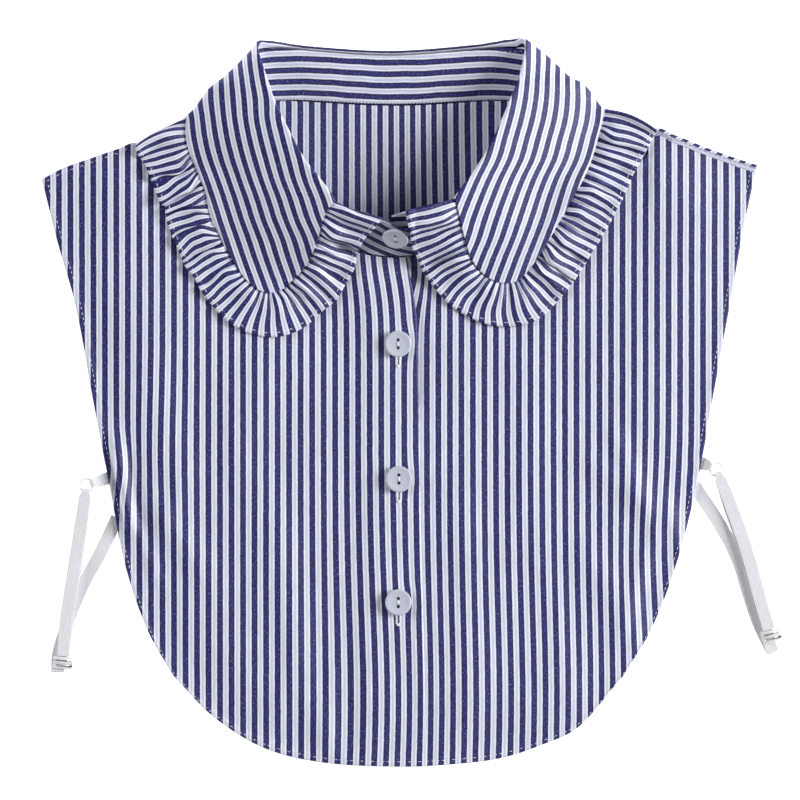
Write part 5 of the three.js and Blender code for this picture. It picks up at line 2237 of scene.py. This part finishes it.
@dataclass
class Elastic:
    """Tab, ring, strap and slider at one armhole."""

    route: StrapRoute
    finishes: Finishes
    width: float = 6.0
    neck: float = 3.2
    thickness: float = 0.8
    ring_radius: float = 3.1
    wire: float = 0.45
    ring_height: float = 2.4
    eye: float = 1.0
    wall: float = 0.7
    low_run: float = 0.5
    middle_run: float = 1.75
    high_run: float = 3.0
    slider_length: float = 5.7
    slider_width: float = 9.0
    slider_height: float = 1.3
    slider_bar: float = 1.4
    slider_lift: float = 3.0
    slider_rounding: float = 0.35
    band_rounding: float = 0.22
    band_rows: int = 8
    band_steep: float = 0.45
    turn_steps: int = 8
    beside_eye: float = 2.6
    beside_width: float = 0.85
    beside_lift: float = 0.78
    ring_sides: int = 40
    wire_sides: int = 12
    sewn_in: float = 6.0
    sewn_height: float = 0.75
    tab_sewn_in: float = 4.0
    tab_height: float = 1.0
    tab_near: Pair = (2.4, 0.45)
    tab_width: float = 0.75
    tab_gap: float = 0.02
    tab_dip: float = 0.35
    tab_samples: int = 60
    samples: int = 300

    def half_turn(self, centre: Vector, heading: Vector, radius: float, width: float) -> Stations:
        """Stations of a half turn from a lower run to a higher one.

        Args:
            centre: Middle of the turn.
            heading: Level direction in which the turn bulges.
            radius: Radius of the turn.
            width: Width of the band.

        Returns:
            Places and widths.
        """
        stations = []
        for i in range(self.turn_steps + 1):
            angle = math.pi * i / self.turn_steps - math.pi / 2
            point = centre + heading * (radius * math.cos(angle))
            point.z = centre.z + radius * math.sin(angle)
            stations.append((point, width))
        return stations

    def strap_stations(self) -> Stations:
        """Lay out the strap.

        Returns:
            Places and widths along it, from the panel to the slider.
        """
        route = self.route

        def flat(points: Iterable[Pair], z: float) -> Stations:
            """Stations of a level run."""
            return [(Vector((x, y, z)), self.width) for x, y in points]

        loop = Vector((*route.loop, (self.low_run + self.middle_run) / 2))
        before, turning = route.low[-1], route.loop
        heading = Vector((turning[0] - before[0], turning[1] - before[1], 0)).normalized()
        eye, towards = self.eye_centre(route.high[0])
        bend = self.eye + self.thickness / 2
        beside = eye + towards * self.beside_eye
        near_width = mix(self.neck, self.width, self.beside_width)
        lift = self.beside_lift
        lower = Vector((beside.x, beside.y, mix(self.middle_run, self.ring_height - bend, lift)))
        upper = Vector((beside.x, beside.y, mix(self.high_run, self.ring_height + bend, lift)))
        anchor, onward = Vector(route.anchor), Vector(route.low[0])
        sewn = anchor + (anchor - onward).normalized() * self.sewn_in
        return [
            (Vector((*sewn, self.sewn_height)), self.width),
            *flat([route.anchor, *route.low], self.low_run),
            *self.half_turn(loop, heading, (self.middle_run - self.low_run) / 2, self.width),
            *flat(route.middle, self.middle_run),
            (lower, near_width),
            *self.half_turn(eye, -towards, bend, self.neck),
            (upper, near_width),
            *flat(route.high, self.high_run),
        ]

    def eye_centre(self, towards: Pair) -> tuple[Vector, Vector]:
        """Where a band goes round the ring's wire, and its heading from there."""
        x, y = self.route.ring
        heading = Vector((towards[0] - x, towards[1] - y, 0)).normalized()
        return Vector((x, y, self.ring_height)) + heading * self.ring_radius, heading

    def band(self, name: str, stations: Stations, samples: int, replaces: str) -> None:
        """A flat woven band along stations.

        Args:
            name: Name of the piece.
            stations: Places and widths.
            samples: Steps along it.
            replaces: CAD node that it stands for.
        """
        curve = SmoothCurve([point for point, _ in stations], divisions=samples)
        last = len(stations) - 1
        points, widths = [], []
        for k in range(samples + 1):
            i, part = find_step(k / samples, last)
            points.append(curve.at(k / samples))
            widths.append(mix(stations[i][1], stations[i + 1][1], part))
        sides = []
        for k in range(samples + 1):
            tangent = (points[min(k + 1, samples)] - points[max(k - 1, 0)]).normalized()
            flat = Vector((-tangent.y, tangent.x, 0))
            if flat.length < self.band_steep and sides:
                flat = sides[-1].copy()
            flat.normalize()
            if sides and flat.dot(sides[-1]) < 0:
                flat.negate()
            sides.append(flat)
        mesh = bmesh.new()
        flat_map = mesh.loops.layers.uv.new("flat")
        across = self.band_rows
        bmesh.ops.create_grid(mesh, x_segments=samples, y_segments=across, size=0.5)
        places = {}
        for vert in mesh.verts:
            k, j = round((vert.co.x + 0.5) * samples), round((vert.co.y + 0.5) * across)
            share = j / across - 0.5
            places[vert] = (share * widths[k], curve.lengths[k])
            vert.co = (points[k] + sides[k] * (share * widths[k])) * MM
        for face in mesh.faces:
            for loop in face.loops:
                loop[flat_map].uv = Vector(places[loop.vert]) * MM
        piece = place_piece(name, mesh, self.finishes.elastic, Slot.ELASTIC, [replaces])
        add_wall(piece, self.thickness)
        soften_edges(piece, self.band_rounding)

    def build_ring(self) -> None:
        """Round wire ring."""
        mesh = bmesh.new()
        x, y = self.route.ring
        circle = bmesh.ops.create_circle(
            mesh, segments=self.wire_sides, radius=self.wire * MM,
            matrix=Matrix.Translation((self.ring_radius * MM, 0, 0)) @ Matrix.Rotation(math.pi / 2, 4, "X"),
        )
        edges = list({edge for vert in circle["verts"] for edge in vert.link_edges})
        spin_round(mesh, circle["verts"] + edges, self.ring_sides)
        bmesh.ops.translate(mesh, verts=mesh.verts, vec=Vector((x, y, self.ring_height)) * MM)
        side = self.route.side.value
        place_piece(f"wire_ring_{side}", mesh, self.finishes.hardware, Slot.HARDWARE, [f"ring_{side}"])

    def build_tab(self) -> None:
        """Folded band from the panel round the ring and back."""
        route = self.route
        eye, towards = self.eye_centre(route.tab_from)
        length = (Vector((*route.tab_from, self.ring_height)) - eye).length
        bend = self.eye + self.wall / 2
        end = eye + towards * length
        near = eye + towards * min(self.tab_near[0], length * self.tab_near[1])
        half = self.wall / 2 + self.tab_gap
        sewn = end + towards * self.tab_sewn_in

        def at(point: Vector, height: float) -> Vector:
            """The point at a height."""
            return Vector((point.x, point.y, height))

        near_width = mix(self.neck, self.width, self.tab_width)
        low, high = self.tab_height - half, self.tab_height + half
        stations = [
            (at(sewn, low), self.width), (at(end, low), self.width),
            (at(near, self.ring_height - half - self.tab_dip), near_width),
            *self.half_turn(eye, -towards, bend, self.neck),
            (at(near, self.ring_height + half), near_width),
            (at(end, high), self.width), (at(sewn, high), self.width),
        ]
        side = route.side.value
        self.band(f"elastic_tab_{side}", stations, self.tab_samples, f"tab_{side}")

    def build_slider(self) -> None:
        """Flat frame with a middle bar."""
        route = self.route
        end, before = Vector(route.high[-1]), Vector(route.high[-2])
        heading = (end - before).normalized()
        mesh = bmesh.new()
        length, width, bar = self.slider_length, self.slider_width, self.slider_bar
        parts = [((0, k * (length - bar) / 2 + bar / 2), (width, bar)) for k in range(3)]
        window = (length - 3 * bar) / 2
        for x in (-1, 1):
            for k in range(2):
                parts.append(((x * (width - bar) / 2, bar * (k + 1) + window * (k + 0.5)), (bar, window)))
        for (x, y), (across, along) in parts:
            size = Matrix.Diagonal((across * MM, along * MM, self.slider_height * MM, 1))
            bmesh.ops.create_cube(mesh, size=1.0, matrix=Matrix.Translation((x * MM, y * MM, 0)) @ size)
        bmesh.ops.remove_doubles(mesh, verts=mesh.verts, dist=TINY)
        turn = Matrix.Rotation(math.atan2(heading.y, heading.x) - math.pi / 2, 4, "Z")
        place = Vector((end.x + heading.x * GAP, end.y + heading.y * GAP, self.slider_lift)) * MM
        bmesh.ops.transform(mesh, matrix=Matrix.Translation(place) @ turn, verts=mesh.verts)
        side = route.side.value
        piece = place_piece(f"strap_slider_{side}", mesh, self.finishes.hardware, Slot.HARDWARE,
                            [f"slider_{side}"])
        soften_edges(piece, self.slider_rounding)

    def build(self) -> None:
        """Make the four pieces."""
        side = self.route.side.value
        self.build_tab()
        self.build_ring()
        self.band(f"elastic_strap_{side}", self.strap_stations(), self.samples, f"strap_{side}")
        self.build_slider()


ROUTES = (
    StrapRoute(
        side=Side.RIGHT, ring=(-148.7, -40.4), tab_from=(-139.0, -37.2), anchor=(-136.9, -61.3),
        low=((-142.8, -73.8), (-149.7, -86.2), (-157.2, -104), (-162.4, -121.5)), loop=(-162.6, -128.4),
        middle=((-160.6, -122), (-158, -106), (-154.8, -84.1), (-151.4, -60)),
        high=((-151.6, -60), (-155.4, -84.1), (-158.6, -106), (-159.9, -121.6)),
    ),
    StrapRoute(
        side=Side.LEFT, ring=(150.3, -32.9), tab_from=(143.9, -30.2), anchor=(142.2, -44.2),
        low=((153.4, -61.7), (160.6, -76.5), (165.7, -92.6), (169.9, -105), (174.4, -114.5)),
        loop=(176.9, -119.2),
        middle=((174.2, -110.5), (170.6, -96), (163.3, -70), (157, -52)),
        high=((157.8, -52), (164.1, -70), (171.4, -96), (175.2, -109)),
    ),
)


# Floor, light and camera

@dataclass
class Studio:
    """Pale floor, soft light and the camera over the middle."""

    finishes: Finishes
    floor_half: float = 3.0
    floor_drop: float = 0.0002
    view_width: float = 0.38
    camera_height: float = 4.0
    sensor: float = 36.0
    ambient: float = 0.20
    tint: Colour = (0.97, 0.975, 1.0)
    key: float = 350.0
    key_size: float = 2.1
    key_place: tuple[float, float, float] = (4.45, 0.55, 2.2)
    fill: float = 169.0
    fill_size: float = 2.1
    fill_place: tuple[float, float, float] = (-4.60, 1.15, 1.62)

    def area_light(self, name: str, place: Vector, size: float, power: float) -> Object:
        """A square light that points at the middle of the floor.

        Args:
            name: Name of the light.
            place: Where it stands, in metres.
            size: Length of its side.
            power: Its power in watts.

        Returns:
            The light.
        """
        data = bpy.data.lights.new(name, "AREA")
        data.size = size
        data.energy = power
        data.color = self.tint
        light = new_object(name, data)
        light.location = place
        light.rotation_euler = place.to_track_quat("Z", "Y").to_euler()
        return light

    def build(self) -> None:
        """Set up the studio."""
        mesh = bmesh.new()
        bmesh.ops.create_grid(mesh, x_segments=1, y_segments=1, size=self.floor_half)
        bmesh.ops.translate(mesh, verts=mesh.verts, vec=(0, 0, -self.floor_drop))
        data = bpy.data.meshes.new("floor")
        mesh.to_mesh(data)
        mesh.free()
        floor = new_object("floor", data)
        data.materials.append(self.finishes.floor)
        world = bpy.data.worlds.new("studio")
        world.use_nodes = True
        world.node_tree.nodes["Background"].inputs[0].default_value = (1, 1, 1, 1)
        world.node_tree.nodes["Background"].inputs[1].default_value = self.ambient
        scene = bpy.context.scene
        scene.world = world
        scene.view_settings.view_transform = "Standard"
        self.area_light("key_light", Vector(self.key_place), self.key_size, self.key)
        fill = self.area_light("fill_light", Vector(self.fill_place), self.fill_size, self.fill)
        fill.visible_glossy = False
        camera = new_object("camera", bpy.data.cameras.new("camera"))
        camera.location = (0, 0, self.camera_height)
        camera.data.sensor_width = self.sensor
        camera.data.lens = self.sensor * self.camera_height / self.view_width
        camera.data.clip_end = 100
        scene.camera = camera


def main() -> None:
    """Build the collar and its studio, piece by piece."""
    logging.basicConfig(level=logging.INFO, format="%(message)s")
    finishes = Finishes(Effects())
    Studio(finishes).build()
    bib = BibShape()
    Bib(bib, finishes).build()
    collar = CollarShape(bib)
    Collar(collar, finishes).build()
    Frill(FrillShape(collar), finishes).build()
    Buttons(bib, collar, finishes).build()
    for route in ROUTES:
        Elastic(route, finishes).build()


if __name__ == "__main__":
    main()
